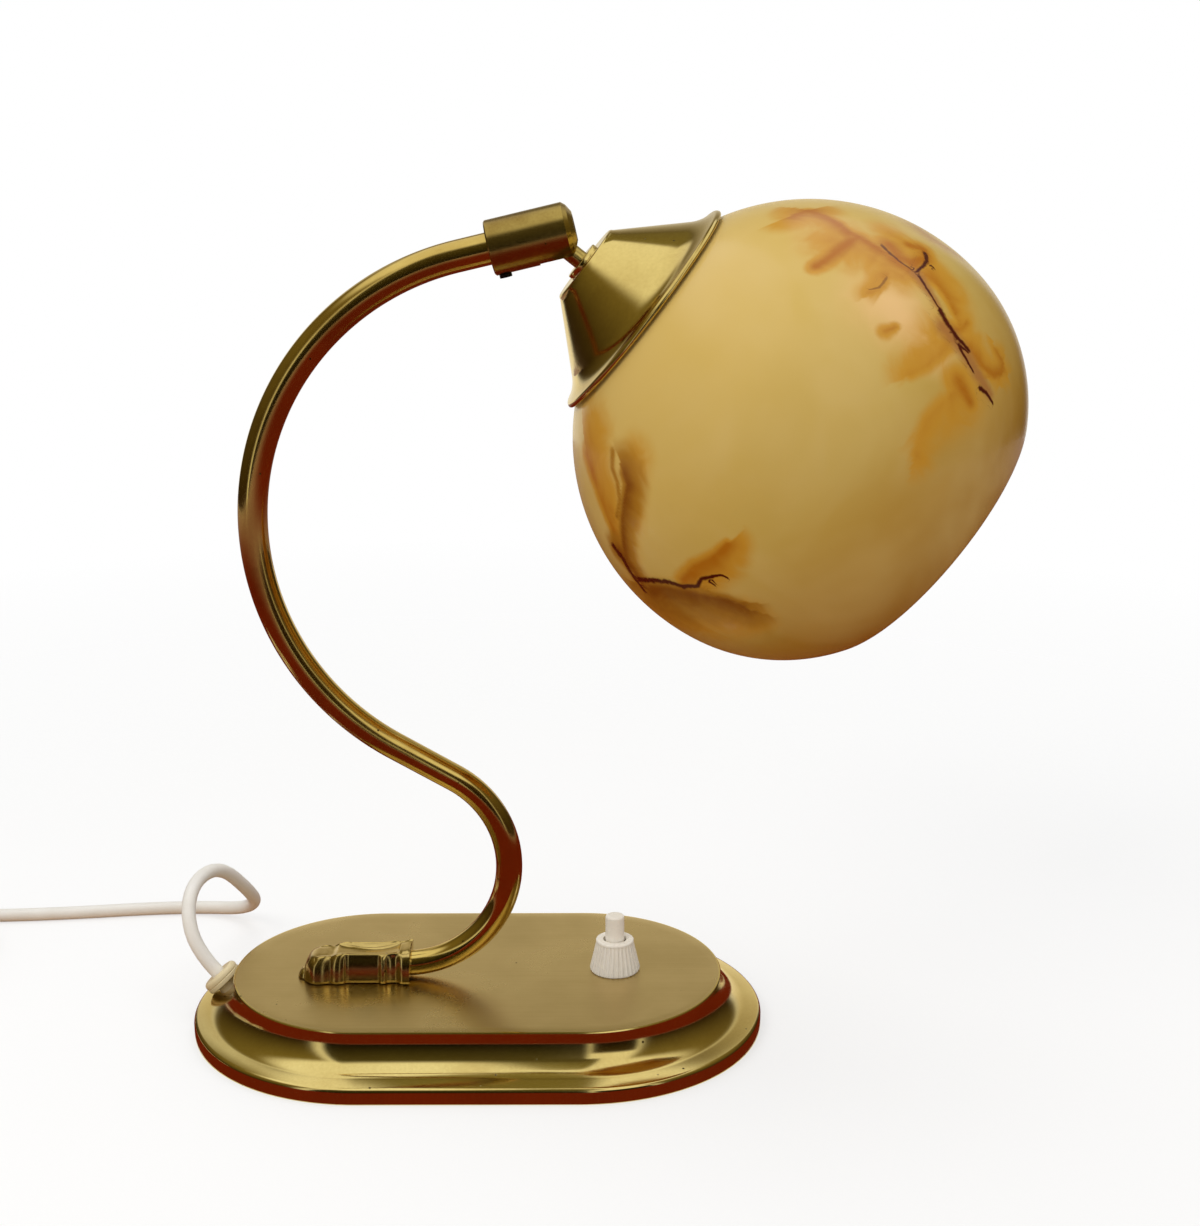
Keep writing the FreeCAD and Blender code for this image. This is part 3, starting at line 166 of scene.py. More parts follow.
# The tube was drawn and polished along its length, then bent: long hair scratches and dull spots.
drawn_tube = brass("brass_drawn_polished", "#E6CB74", "#A8843A", 0.11,
                   (350, 900, 350), 0.0012, 0.14, 0.45)
# The bell cap was spun over a former and buffed: its rings are too fine to draw, so it has an even
# grain of 1.4 mm, and some blush in the lacquer.
spun_cap = brass("brass_spun_buffed", "#E8D080", "#A98840", 0.10,
                 (700, 700, 700), 0.0010, 0.12, 0.4)
# The barrel and the stem were turned from bar: a little duller, darkened where hands don't reach.
turned_joint = brass("brass_turned_bar", "#CDB565", "#86682C", 0.17,
                     (1200, 500, 1200), 0.002, 0.20, 0.65)
# The clasp was cast in sand and burnished by hand: soft lumps 3 mm across under a good polish.
cast_clasp = brass("brass_sand_cast_burnished", "#DFC67C", "#937638", 0.13,
                   (300, 300, 300), 0.004, 0.14, 0.5)


def shade(name, base, second, roughness, size, depth, contrast, **more):
    """A moulded, cast or coated surface: a grain of a size and depth in mm, and blotches of 17 mm."""
    material, tree = new_material(name)
    place = add(tree, "ShaderNodeTexCoord").outputs["Object"]
    grain = add(tree, "ShaderNodeTexNoise", {
        "Vector": place, "Scale": 1000 / size, "Detail": 3.0, "Roughness": 0.6})
    blotch = add(tree, "ShaderNodeTexNoise", {
        "Vector": place, "Scale": 60.0, "Detail": 4.0, "Roughness": 0.6, "Distortion": 0.4})
    both = add(tree, "ShaderNodeMath", {0: grain, 1: 0.35, 2: blotch}, operation="MULTIPLY_ADD")
    factor = add(tree, "ShaderNodeMapRange", {
        "Value": both, "From Min": 0.45, "From Max": 0.95,
        "To Min": 0.0, "To Max": contrast})
    colour = add(tree, "ShaderNodeMix", {"Factor": factor, 6: base, 7: second}, data_type="RGBA")
    rough = add(tree, "ShaderNodeMapRange", {
        "Value": blotch, "From Min": 0.3, "From Max": 0.7,
        "To Min": roughness * 0.85, "To Max": roughness * 1.2})
    bump = add(tree, "ShaderNodeBump", {"Height": grain, "Strength": 1.0, "Distance": depth * MM})
    finish_material(tree, Base_Color=colour.outputs[2], Roughness=rough,
                    Normal=bump, **more)
    return material


# Urea resin, compression moulded: warm white, glossy, a little yellowed in blotches.
moulded_urea = shade("urea_resin_moulded_white", "#FBF6EC", "#EFE6D4", 0.26, 0.5, 0.003, 0.6, IOR=1.55)
# The cord's bush is the same resin after more light: ivory.
aged_urea = shade("urea_resin_moulded_ivory", "#E6D7AE", "#CDB88A", 0.34, 0.5, 0.006, 0.7, IOR=1.55)
# Flexible PVC over two cores, extruded: white, half matt, with a faint bloom.
pvc_cord = shade("pvc_sheath_extruded_white", "#F2F0EB", "#E0DBD0", 0.38, 0.7, 0.01, 0.5, IOR=1.53)
# Rubbery PVC of the moulded plug: the same white with a coarser spark-eroded grain.
pvc_plug = shade("pvc_moulded_white", "#F0EDE6", "#DFD9CD", 0.44, 0.4, 0.02, 0.5, IOR=1.53)
# Phenolic resin: nearly black brown, glossy where it was pressed.
phenolic = shade("phenolic_resin_pressed_black", "#211712", "#32241B", 0.32, 0.6, 0.006, 0.7, IOR=1.6)
# Glazed porcelain of the lamp holder's core.
porcelain = shade("porcelain_glazed", "#EFEBE2", "#DDD6C8", 0.14, 1.2, 0.006, 0.5, IOR=1.5)
# Zinc-plated steel of the screws, springs and nuts: grey with a faint yellow passivation.
plated_steel = shade("steel_zinc_plated", "#B9B8B0", "#8F8D84", 0.30, 0.4, 0.004, 0.8, Metallic=1.0)
# Blackened steel of the set screw.
blackened_steel = shade("steel_oil_blackened", "#3A3733", "#1F1D1B", 0.36, 0.4, 0.006, 0.8, Metallic=1.0)
# Cast iron weight, painted with thin grey primer: rough from the sand.
cast_iron = shade("iron_cast_primed", "#5B5A57", "#3E3C39", 0.66, 1.4, 0.12, 0.8, Metallic=0.4)
# Rolled steel sheet of the bottom cover, lacquered black.
steel_cover = shade("steel_sheet_lacquered", "#3B3935", "#2A2825", 0.42, 0.8, 0.012, 0.7, Metallic=0.6)
# Pressed wool felt, dark green: fibres show as a matt, uneven nap 0.6 mm high.
wool_felt = shade("wool_felt_pressed", "#2F4A38", "#1E3327", 0.95, 0.6, 0.35, 0.9, Sheen_Weight=0.6)
# Nickel-plated brass of the bulb's base and brass of the plug's pins, lightly scratched.
nickel = shade("brass_nickel_plated", "#C9C4B8", "#9E998D", 0.22, 0.4, 0.004, 0.7, Metallic=1.0)
pin_brass = shade("brass_drawn_bright", "#D8B064", "#A98038", 0.24, 0.4, 0.004, 0.7, Metallic=1.0)
# The bulb: glass frosted on its inside with white silica, so it shows no filament.
frosted_bulb = shade("glass_silica_coated", "#F4F1E8", "#E9E3D3", 0.16, 2.0, 0.002, 0.3, IOR=1.5,
                     Subsurface_Weight=0.25, Subsurface_Radius=(0.006, 0.005, 0.004))


def opal_glass():
    """Blown opal glass, cased in clear glass, with powders melted into its skin.

    The piece's attributes say how near each point is to a stroke of each powder, from 0 at its
    edge to its strength on its line; noise a few millimetres wide feathers those edges, as the
    gather does when it is blown.
    """
    material, tree = new_material("glass_opal_blown_marbled")
    place = add(tree, "ShaderNodeTexCoord").outputs["Object"]
    # Wisps 16 mm across, curls of 4 mm and slow clouds of 60 mm.
    wisps, curls, slow = (
        add(tree, "ShaderNodeTexNoise", {
            "Vector": place, "Scale": scale, "Detail": 3.0, "Roughness": rough, "Distortion": twist})
        for scale, rough, twist in ((62.0, 0.45, 2.2), (260.0, 0.5, 1.0), (16.0, 0.5, 0.5)))
    # Painted shade: the depth attribute's ramp darkens the glass from cream to ochre-brown towards the
    # mouth, the globe's lower end, as if less light reached it.
    tone = add(tree, "ShaderNodeValToRGB", {
        "Fac": add(tree, "ShaderNodeAttribute", attribute_name="depth").outputs["Fac"]},
        ramp=((0.0, "#D2B264"), (0.25, "#CFAF5C"), (0.55, "#C6A654"), (0.8, "#B68C38"), (1.0, "#99691A")))
    clouded = add(tree, "ShaderNodeMapRange", {
        "Value": slow, "From Min": 0.38, "From Max": 0.66,
        "To Min": 0.0, "To Max": 0.45})
    colour = add(tree, "ShaderNodeMix", {"Factor": clouded, 6: tone, 7: "#DABE7A"}, data_type="RGBA")
    # Each powder: its attribute, its colour, where its edge begins and is full, and its feathering.
    # Amber and rust are laid twice, thin and golden at the edge, deep in the middle.
    for powder, tint, begin, full, feather, pattern in (
            ("peach", "#E6BC7E", 0.00, 1.00, 0.14, wisps), ("amber", "#C68E26", 0.00, 0.50, 0.24, wisps),
            ("amber", "#AC6404", 0.42, 1.00, 0.20, wisps), ("rust", "#A6721C", 0.00, 0.50, 0.20, wisps),
            ("rust", "#7C4204", 0.42, 1.00, 0.20, wisps), ("mauve", "#A87038", 0.05, 0.85, 0.20, curls)):
        near = add(tree, "ShaderNodeAttribute", attribute_name=powder).outputs["Fac"]
        swing = add(tree, "ShaderNodeMath", {0: pattern, 1: 0.5}, operation="SUBTRACT")
        weight = add(tree, "ShaderNodeMath", {0: near, 1: 3.0}, operation="MULTIPLY", use_clamp=True)
        swing = add(tree, "ShaderNodeMath", {0: swing, 1: weight}, operation="MULTIPLY")
        edge = add(tree, "ShaderNodeMath", {0: swing, 1: feather * 2, 2: near}, operation="MULTIPLY_ADD")
        cover = add(tree, "ShaderNodeMapRange", {
            "Value": edge, "From Min": begin, "From Max": full,
            "To Min": 0.0, "To Max": 0.92}, interpolation_type="SMOOTHSTEP")
        colour = add(tree, "ShaderNodeMix", {
            "Factor": cover, 6: colour.outputs[2], 7: tint}, data_type="RGBA")
    # A vein is a thread: "vein_off" is how far a point lies beside it, in widths of the vein.
    off = add(tree, "ShaderNodeAttribute", attribute_name="vein_off").outputs["Fac"]
    sway = add(tree, "ShaderNodeMath", {0: curls, 1: 1.6, 2: off}, operation="MULTIPLY_ADD")
    sway = add(tree, "ShaderNodeMath", {0: sway, 1: 0.8}, operation="SUBTRACT")
    beside = add(tree, "ShaderNodeMath", {0: sway}, operation="ABSOLUTE")
    thread = add(tree, "ShaderNodeMapRange", {
        "Value": beside, "From Min": 0.35, "From Max": 1.25,
        "To Min": 1.0, "To Max": 0.0}, interpolation_type="SMOOTHSTEP")
    near = add(tree, "ShaderNodeAttribute", attribute_name="vein").outputs["Fac"]
    there = add(tree, "ShaderNodeMath", {0: near, 1: 1.3}, operation="MULTIPLY", use_clamp=True)
    cover = add(tree, "ShaderNodeMath", {0: thread, 1: there}, operation="MULTIPLY")
    colour = add(tree, "ShaderNodeMix", {
        "Factor": cover, 6: colour.outputs[2], 7: "#4A0F04"}, data_type="RGBA")
    bump = add(tree, "ShaderNodeBump", {"Height": slow, "Strength": 1.0, "Distance": 0.15 * MM})
    finish_material(tree, Base_Color=colour.outputs[2], Roughness=0.24, IOR=1.5, Normal=bump,
                    Specular_IOR_Level=0.25, Coat_Weight=0.15, Coat_Roughness=0.04, Coat_IOR=1.5,
                    Subsurface_Weight=0.08, Subsurface_Radius=(0.002, 0.002, 0.002))
    return material


globe_glass = opal_glass()
# The globe's inside: the same opal without the powders, whiter and half matt from the blowing.
inner_glass = shade("glass_opal_inside", "#F0E0B8", "#E4CF9C", 0.3, 3.0, 0.02, 0.5, IOR=1.52,
                    Subsurface_Weight=0.2, Subsurface_Radius=(0.008, 0.005, 0.002))


# ---------------------------------------------------------------- shapes

def outline(corners, step):
    """An outline's points; a corner (across, up, radius, side) ends an arc whose centre is on
    the left of its way for side 1 and on the right for side -1."""
    points = [Vector(corners[0][:2])]
    for corner in corners[1:]:
        start, end = points[-1], Vector(corner[:2])
        if len(corner) < 4:
            points.append(end)
            continue
        radius, side = corner[2:]
        chord = end - start
        middle = (start + end) / 2
        rise = math.sqrt(max(radius ** 2 - (chord.length / 2) ** 2, 0))
        centre = middle + Vector((-chord.y, chord.x)).normalized() * rise * side
        first = math.atan2(start.y - centre.y, start.x - centre.x)
        swept = 2 * math.asin(min(chord.length / 2 / radius, 1)) * side
        count = max(3, round(abs(swept) * radius / step))
        points += [centre + radius * Vector((math.cos(first + swept * n / count),
                                             math.sin(first + swept * n / count)))
                   for n in range(1, count + 1)]
    return points


def spread(points, step):
    """The same outline with its long runs divided, so that a pattern kept on it stays fine."""
    result = [points[0]]
    for start, end in zip(points, points[1:]):
        count = max(1, round((end - start).length / step))
        result += [start.lerp(end, n / count) for n in range(1, count + 1)]
    return result


def grid(rows, count, closed=True, caps=False):
    """Faces between rows of count points; closed joins each row's ends and caps fills both ends."""
    faces = []
    for first in range(0, (rows - 1) * count, count):
        for n in range(count if closed else count - 1):
            here, after = first + n, first + (n + 1) % count
            faces.append([here, here + count, after + count, after])
    if caps:
        faces += [list(range(count)), list(reversed(range((rows - 1) * count, rows * count)))]
    return faces


def put(name, data):
    """Makes an object and puts it in the scene."""
    thing = bpy.data.objects.new(name, data)
    bpy.context.scene.collection.objects.link(thing)
    return thing


def piece(name, points, faces, body, nodes, materials, sharp):
    """Makes a piece from points in millimetres and rides it on its body in place of CAD nodes."""
    mesh = bpy.data.meshes.new(name)
    mesh.from_pydata([tuple(p * MM for p in point) for point in points], [], faces)
    for material in materials:
        mesh.materials.append(material)
    return dress(name, mesh, body, nodes, sharp)


def dress(name, mesh, body, nodes, sharp):
    """Merges doubles, turns all faces outwards, creases edges over sharp degrees, and rides the piece."""
    work = bmesh.new()
    work.from_mesh(mesh)
    bmesh.ops.remove_doubles(work, verts=work.verts, dist=1e-7)
    bmesh.ops.dissolve_degenerate(work, edges=work.edges, dist=1e-7)
    if work.calc_volume(signed=True) < 0:
        bmesh.ops.reverse_faces(work, faces=work.faces)
    work.to_mesh(mesh)
    work.free()
    mesh.shade_smooth()
    mesh.set_sharp_from_angle(angle=math.radians(sharp))
    thing = put(name, mesh)
    if nodes:
        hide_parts(*nodes)
    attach(thing, body)
    return thing


def axes(axis):
    """Two directions square to an axis; the second one is as upright as it can be."""
    side = axis.cross(Vector((0, 0, 1)))
    side = side.normalized() if side.length > 1e-6 else Vector((0, -1, 0))
    return side, side.cross(axis).normalized()


def turned(profile, origin, axis, count):
    """Points and faces of a closed outline (radius, along) turned about an axis."""
    axis = axis.normalized()
    side, up = axes(axis)
    points, rings = [], []
    for radius, along in profile:
        if radius < 1e-6:
            points.append(origin + axis * along)
            rings.append([len(points) - 1] * count)
            continue
        rings.append(list(range(len(points), len(points) + count)))
        for n in range(count):
            angle = 2 * math.pi * n / count
            points.append(origin + axis * along
                          + (side * math.cos(angle) + up * math.sin(angle)) * radius)
    faces = []
    for ring, after in zip(rings, rings[1:] + rings[:1]):
        for n in range(count):
            corners = [ring[n], ring[(n + 1) % count], after[(n + 1) % count], after[n]]
            corners = [c for k, c in enumerate(corners) if c not in corners[:k]]
            if len(corners) > 2:
                faces.append(corners)
    return points, faces


def lathe(name, profile, origin, axis, count, body, nodes, material, sharp):
    """Makes a piece of one material from an outline turned about an axis."""
    points, faces = turned(profile, origin, axis, count)
    return piece(name, points, faces, body, nodes, [material], sharp)


def new_tree(name, inputs):
    """A geometry tree with named inputs: each is a socket type and its value."""
    tree = bpy.data.node_groups.new(name, "GeometryNodeTree")
    tree.interface.new_socket("Geometry", in_out="INPUT", socket_type="NodeSocketGeometry")
    tree.interface.new_socket("Geometry", in_out="OUTPUT", socket_type="NodeSocketGeometry")
    for label, (kind, value) in inputs.items():
        socket = tree.interface.new_socket(label, in_out="INPUT", socket_type="NodeSocket" + kind)
        if kind != "Material":
            socket.default_value = value
    return tree, add(tree, "NodeGroupInput").outputs


def pipe(tree, line, sides, radius, **more):
    """Sweeps a ring along a line of mesh edges."""
    curve = add(tree, "GeometryNodeMeshToCurve", {0: line})
    ring = add(tree, "GeometryNodeCurvePrimitiveCircle", {"Resolution": sides, "Radius": radius})
    return add(tree, "GeometryNodeCurveToMesh", {
        "Curve": curve, "Profile Curve": ring, "Fill Caps": True, **more})


def end_tree(tree, geometry, material):
    """Realises what the tree has made, and paints it."""
    real = add(tree, "GeometryNodeRealizeInstances", {0: geometry})
    painted = add(tree, "GeometryNodeSetMaterial", {0: real, "Material": material})
    add(tree, "NodeGroupOutput", {0: painted})


def line_mesh(name, points):
    """A mesh line through points in millimetres, for a geometry tree to start from."""
    mesh = bpy.data.meshes.new(name)
    mesh.from_pydata([tuple(p * MM) for p in points], [(n, n + 1) for n in range(len(points) - 1)], [])
    return mesh


def grown(name, start, tree, values):
    """The mesh that a geometry tree makes of a starting mesh with the values for its inputs."""
    host = put(name + "_start", start)
    modifier = host.modifiers.new("shape", "NODES")
    modifier.node_group = tree
    for item in tree.interface.items_tree:
        if item.item_type == "SOCKET" and item.in_out == "INPUT" and item.name in values:
            modifier[item.identifier] = values[item.name]
    depsgraph = bpy.context.evaluated_depsgraph_get()
    mesh = bpy.data.meshes.new_from_object(host.evaluated_get(depsgraph))
    bpy.data.objects.remove(host)
    mesh.name = name
    return mesh


# ---------------------------------------------------------------- foot

HALF_STRAIGHT = 43.4
PLATE_RADIUS, PLATE_HEIGHT = 58.0, 22.4
COVE_CENTRE, COVE_RADIUS = (71.0, 20.8), 13.0
FLANGE_SLOPE, FLANGE_WIDTH, SHOULDER, SHEET, LIFT = math.radians(12), 5.0, 2.0, 1.2, 0.5
FOOT_STEP, END_STEPS = 0.5, 96


def foot_section(wall):
    """The pressing's section from the plate's edge to the skirt's foot, wall inside its face."""
    cove, shoulder = COVE_RADIUS + wall, SHOULDER - wall
    lean, drop = math.sin(FLANGE_SLOPE), math.cos(FLANGE_SLOPE)
    flange = (COVE_CENTRE[0] - cove * lean, COVE_CENTRE[1] - cove * drop)
    edge = (flange[0] + FLANGE_WIDTH * drop, flange[1] - FLANGE_WIDTH * lean)
    skirt = (edge[0] - shoulder * lean + shoulder, edge[1] - shoulder * drop)
    radius, top = PLATE_RADIUS - wall, PLATE_HEIGHT - wall
    crown = [(radius, top)]
    if not wall:
        crown = [(radius - 0.9, top), (radius - 0.3, top - 0.12), (radius, top - 0.5)]
    return outline(crown + [(radius, COVE_CENTRE[1]), flange + (cove, 1), edge,
                            skirt + (shoulder, -1), (skirt[0], LIFT)], FOOT_STEP)


def round_the_oval(profile):
    """Sweeps (radius, height) rows round the long oval that the foot's plan is."""
    way = []
    for end, first in ((1, -90), (-1, 90)):
        way += [(end * HALF_STRAIGHT, math.radians(first + 180 * n / END_STEPS))
                for n in range(END_STEPS + 1)]
    points = [Vector((x + radius * math.cos(turn), radius * math.sin(turn), height))
              for radius, height in profile for x, turn in way]
    return points, grid(len(profile), len(way))


def make_foot():
    """The foot is one pressing of sheet, closed between its outer and inner face at the skirt."""
    outside, inside = foot_section(0.0), foot_section(SHEET)
    # The plate is filled from its middle line outwards in rows, and so is its underside.
    rows = (0.0, 0.25, 0.5, 0.75, 0.9)
    top = [Vector((PLATE_RADIUS * part, PLATE_HEIGHT)) for part in rows]
    under = [Vector(((PLATE_RADIUS - SHEET) * part, PLATE_HEIGHT - SHEET)) for part in reversed(rows)]
    profile = top + outside + list(reversed(inside)) + under
    points, faces = round_the_oval(profile)
    foot = piece("foot_pressing", points, faces, "base", ["base_shell"],
                 [buffed_foot, brushed_plate], 24)
    # The plate's flat top is brushed, and all the rest is buffed.
    flat = (PLATE_HEIGHT - 0.05) * MM
    for face in foot.data.polygons:
        face.material_index = int(all(foot.data.vertices[v].co.z > flat for v in face.vertices))


make_foot()


# ---------------------------------------------------------------- clasp

CLASP_START, CLASP_END, CLASP_Y, CLASP_Z = -74.0, -27.3, -6.0, PLATE_HEIGHT
CLASP_HEIGHT, CLASP_HALF, CLASP_TOP_HALF, CLASP_WIDEST, CLASP_POWER = 12.8, 9.0, 6.8, 9.9, 0.42


def bell(value, centre, width):
    """A bump of height 1 at its centre, which falls to 0.37 at its width."""
    return math.exp(-((value - centre) / width) ** 2)


def ease(value, low, high):
    """A smooth step from 0 at low to 1 at high."""
    part = min(max((value - low) / (high - low), 0), 1)
    return part * part * (3 - 2 * part)


def swell(value, start, end):
    """A rounded pad from start to end, which meets its neighbours in a crease."""
    return max(1 - ((2 * value - start - end) / (end - start)) ** 2, 0)


def quarter(value, length):
    """A quarter circle's rise from 0 at 0 to 1 at length."""
    return math.sqrt(max(1 - (1 - min(max(value / length, 0), 1)) ** 2, 0))


def clasp_point(u, turn):
    """A point of the cast clasp: u runs from the claw to the tube, turn over it from front to back.

    The form is a paw: a low claw, a domed end with two broad toes in each flank, a sunk panel, a
    post and a flute before the flared cuff, and on top a long hollow between two ridges.
    """
    x = CLASP_START + (CLASP_END - CLASP_START) * u
    claw, dome, width = quarter(u, 0.07), quarter(u - 0.06, 0.14), quarter(u - 0.06, 0.11)
    height = CLASP_HEIGHT * (0.32 * claw + 0.54 * dome + 0.14 * ease(u, 0.2, 0.5))
    half = CLASP_HALF * (0.12 + 0.36 * claw + 0.52 * width)
    top_half = half * CLASP_TOP_HALF / CLASP_HALF
    across, up = math.cos(turn), math.sin(turn)
    power = CLASP_POWER + 0.22 * (1 - dome)
    up_part = max(up, 0.0) ** power
    side = ease(abs(across), 0.45, 0.9)
    shoulder = bell(abs(across), 0.62, 0.2)
    out = -0.35 + 1.25 * swell(u, 0.09, 0.305) + 1.15 * swell(u, 0.295, 0.44)
    out -= 0.45 * ease(u, 0.42, 0.47) * (1 - ease(u, 0.71, 0.76))
    out += 0.8 * swell(u, 0.73, 0.80) - 0.6 * swell(u, 0.79, 0.92) + 1.15 * ease(u, 0.87, 0.95)
    wide = half + (top_half - half) * up_part + out * side * width
    # Its edge is undercut where it stands on the plate.
    wide -= 0.7 * (1 - ease(up_part, 0.0, 0.09))
    z = height * up_part
    # Knuckles over the toes, a crease behind them, and the back ridge higher than the front one.
    z += shoulder * dome * (0.2 + 0.9 * swell(u, 0.17, 0.305) + 1.0 * swell(u, 0.305, 0.47)
                            + 0.5 * bell(u, 0.86, 0.05))
    if across < 0:
        z += 0.9 * shoulder * ease(u, 0.36, 0.5)
    spindle = math.sqrt(max(0.0, math.sin(math.pi * min(max((u - 0.36) / 0.55, 0), 1))))
    z -= 2.5 * spindle * bell(abs(across), 0.0, 0.36)
    z -= 0.9 * bell(u, 0.315, 0.035) * bell(abs(across), 0.0, 0.4)
    # The cuff turns up at its back corner.
    ear = ease(u, 0.91, 1.0) * bell(across, -0.6, 0.4)
    z += up_part * (0.3 * ease(u, 0.93, 0.99) + 0.9 * ear)
    x += 0.7 * ear * up_part
    y = -math.copysign(min(wide, CLASP_WIDEST) * abs(across) ** power, across)
    return Vector((x, CLASP_Y + y, CLASP_Z + 0.35 * side * (1 - up_part) + max(z, 0.0)))


def clasp_turns(count, fine=4000):
    """Turns over the section that lie at equal steps along it, so that its upright flanks get points."""
    samples = [math.pi * n / fine for n in range(fine + 1)]
    spots = [Vector((CLASP_HALF * math.copysign(abs(math.cos(t)) ** CLASP_POWER, math.cos(t)),
                     CLASP_HEIGHT * max(math.sin(t), 0.0) ** CLASP_POWER)) for t in samples]
    run = [0.0]
    for start, end in zip(spots, spots[1:]):
        run.append(run[-1] + (end - start).length)
    return [float(np.interp(run[-1] * n / count, run, samples)) for n in range(count + 1)]


def make_clasp():
    """The clasp is a grid of points over the paw's form, closed flat on the plate and at both ends."""
    along, over = 210, 150
    turns = clasp_turns(over)
    # The rows lie closer together at the claw, where the form is small.
    points = [clasp_point((row / along) ** 1.15, turn) for row in range(along + 1) for turn in turns]
    faces = grid(along + 1, over + 1, caps=True)
    piece("cast_clasp", points, faces, "base", ["paw_clasp"], [cast_clasp], 60)


make_clasp()


# ---------------------------------------------------------------- arm

ARM_Y, TUBE_LOW, TUBE_HIGH = -6.0, 5.2, 6.2
ARM = [(-33.0, 28.1), (-29.5, 28.1), (-7.75, 109.27, 43.5, 1), (-31.13, 122.77),
       (-2.42, 317.22, 105.7, -1), (20.5, 322.59)]


def make_arm():
    """The tube follows its bends in a tree: a ring that grows along the tube's middle line."""
    line = [Vector((p.x, ARM_Y, p.y)) for p in outline(ARM, 1.6)]
    lengths = [0.0]
    for start, end in zip(line, line[1:]):
        lengths.append(lengths[-1] + (end - start).length)
    start = line_mesh("arm_line", line)
    along = start.attributes.new("along", "FLOAT", "POINT")
    along.data.foreach_set("value", [length / lengths[-1] for length in lengths])
    tree, given = new_tree("bent_tube", {
        "Low Radius": ("Float", 0.0), "High Radius": ("Float", 0.0), "Sides": ("Int", 8),
        "Brass": ("Material", None)})
    place = add(tree, "GeometryNodeInputNamedAttribute", {"Name": "along"}, data_type="FLOAT")
    radius = add(tree, "ShaderNodeMapRange", {
        "Value": place, "To Min": given["Low Radius"], "To Max": given["High Radius"]})
    tube = pipe(tree, given["Geometry"], given["Sides"], 1.0, Scale=radius)
    end_tree(tree, tube, given["Brass"])
    mesh = grown("arm", start, tree, {"Low Radius": TUBE_LOW * MM, "High Radius": TUBE_HIGH * MM,
                                      "Sides": 48, "Brass": drawn_tube})
    dress("arm_bent_tube", mesh, "base", ["arm_tube"], 40)


make_arm()


# ---------------------------------------------------------------- joint and head

HEAD_TILT = math.radians(38)
BALL = Vector((32.04, -6.0, 325.30))
HEAD = Vector((math.cos(HEAD_TILT), 0, -math.sin(HEAD_TILT)))
HEAD_UP = Vector((math.sin(HEAD_TILT), 0, math.cos(HEAD_TILT)))
TOWARDS_CAMERA = Vector((0, -1, 0))


def make_cap():
    """The bell cap is one spinning, 1 mm thick, with a short collar and a rolled brim."""
    outer = outline([(3.6, 15.6), (7.1, 15.6), (7.6, 16.1, 0.5, 1), (7.6, 17.2), (7.7, 17.3), (14.6, 17.3),
                     (16.25, 18.35, 1.6, 1), (36.2, 39.3), (44.9, 44.3, 16.0, -1),
                     (46.2, 45.3, 1.6, 1), (45.7, 46.55, 0.8, 1)], 0.35)
    inner = outline([(44.6, 45.4), (35.9, 40.8, 17.0, 1), (14.9, 18.7), (3.6, 18.7)], 1.0)
    lathe("bell_cap", spread(outer + inner, 2.5), BALL, HEAD, 160, "head", ["shade_cap"],
          spun_cap, 40)


make_cap()

# The globe's outline is (radius, distance along the head's axis from the ball). Its flank is one arc
# from the shoulder to FLANK_END; then an arc of LOWER and a tight one of LIP draw it in to the mouth.
FLANK, FLANK_CENTRE, FLANK_START, FLANK_END = 87.4, (1.8, 123.6), 46.5, 138.0
LOWER, LOWER_SWING, LIP, LIP_SWING = 72.0, 44.0, 20.0, 32.0
GLASS_WALL, GLOBE_COUNT = 3.0, 400


def globe_outline(wall):
    """The globe's outline from its shoulder to its mouth, wall inside its face."""
    flank, (across, along) = FLANK - wall, FLANK_CENTRE
    turn = math.asin((FLANK_END - along) / FLANK)
    shoulder = (across + math.sqrt(flank ** 2 - (FLANK_START - along) ** 2), FLANK_START)
    points = [shoulder, (across + flank, along, flank, 1),
              (across + flank * math.cos(turn), along + flank * math.sin(turn), flank, 1)]
    centre = Vector(FLANK_CENTRE) + (FLANK - LOWER) * Vector((math.cos(turn), math.sin(turn)))
    for radius, after, swing in ((LOWER, LIP, LOWER_SWING), (LIP, 0.0, LIP_SWING)):
        turn += math.radians(swing)
        way = Vector((math.cos(turn), math.sin(turn)))
        points.append((*(centre + (radius - wall) * way), radius - wall, 1))
        centre = centre + (radius - after) * way
    return points


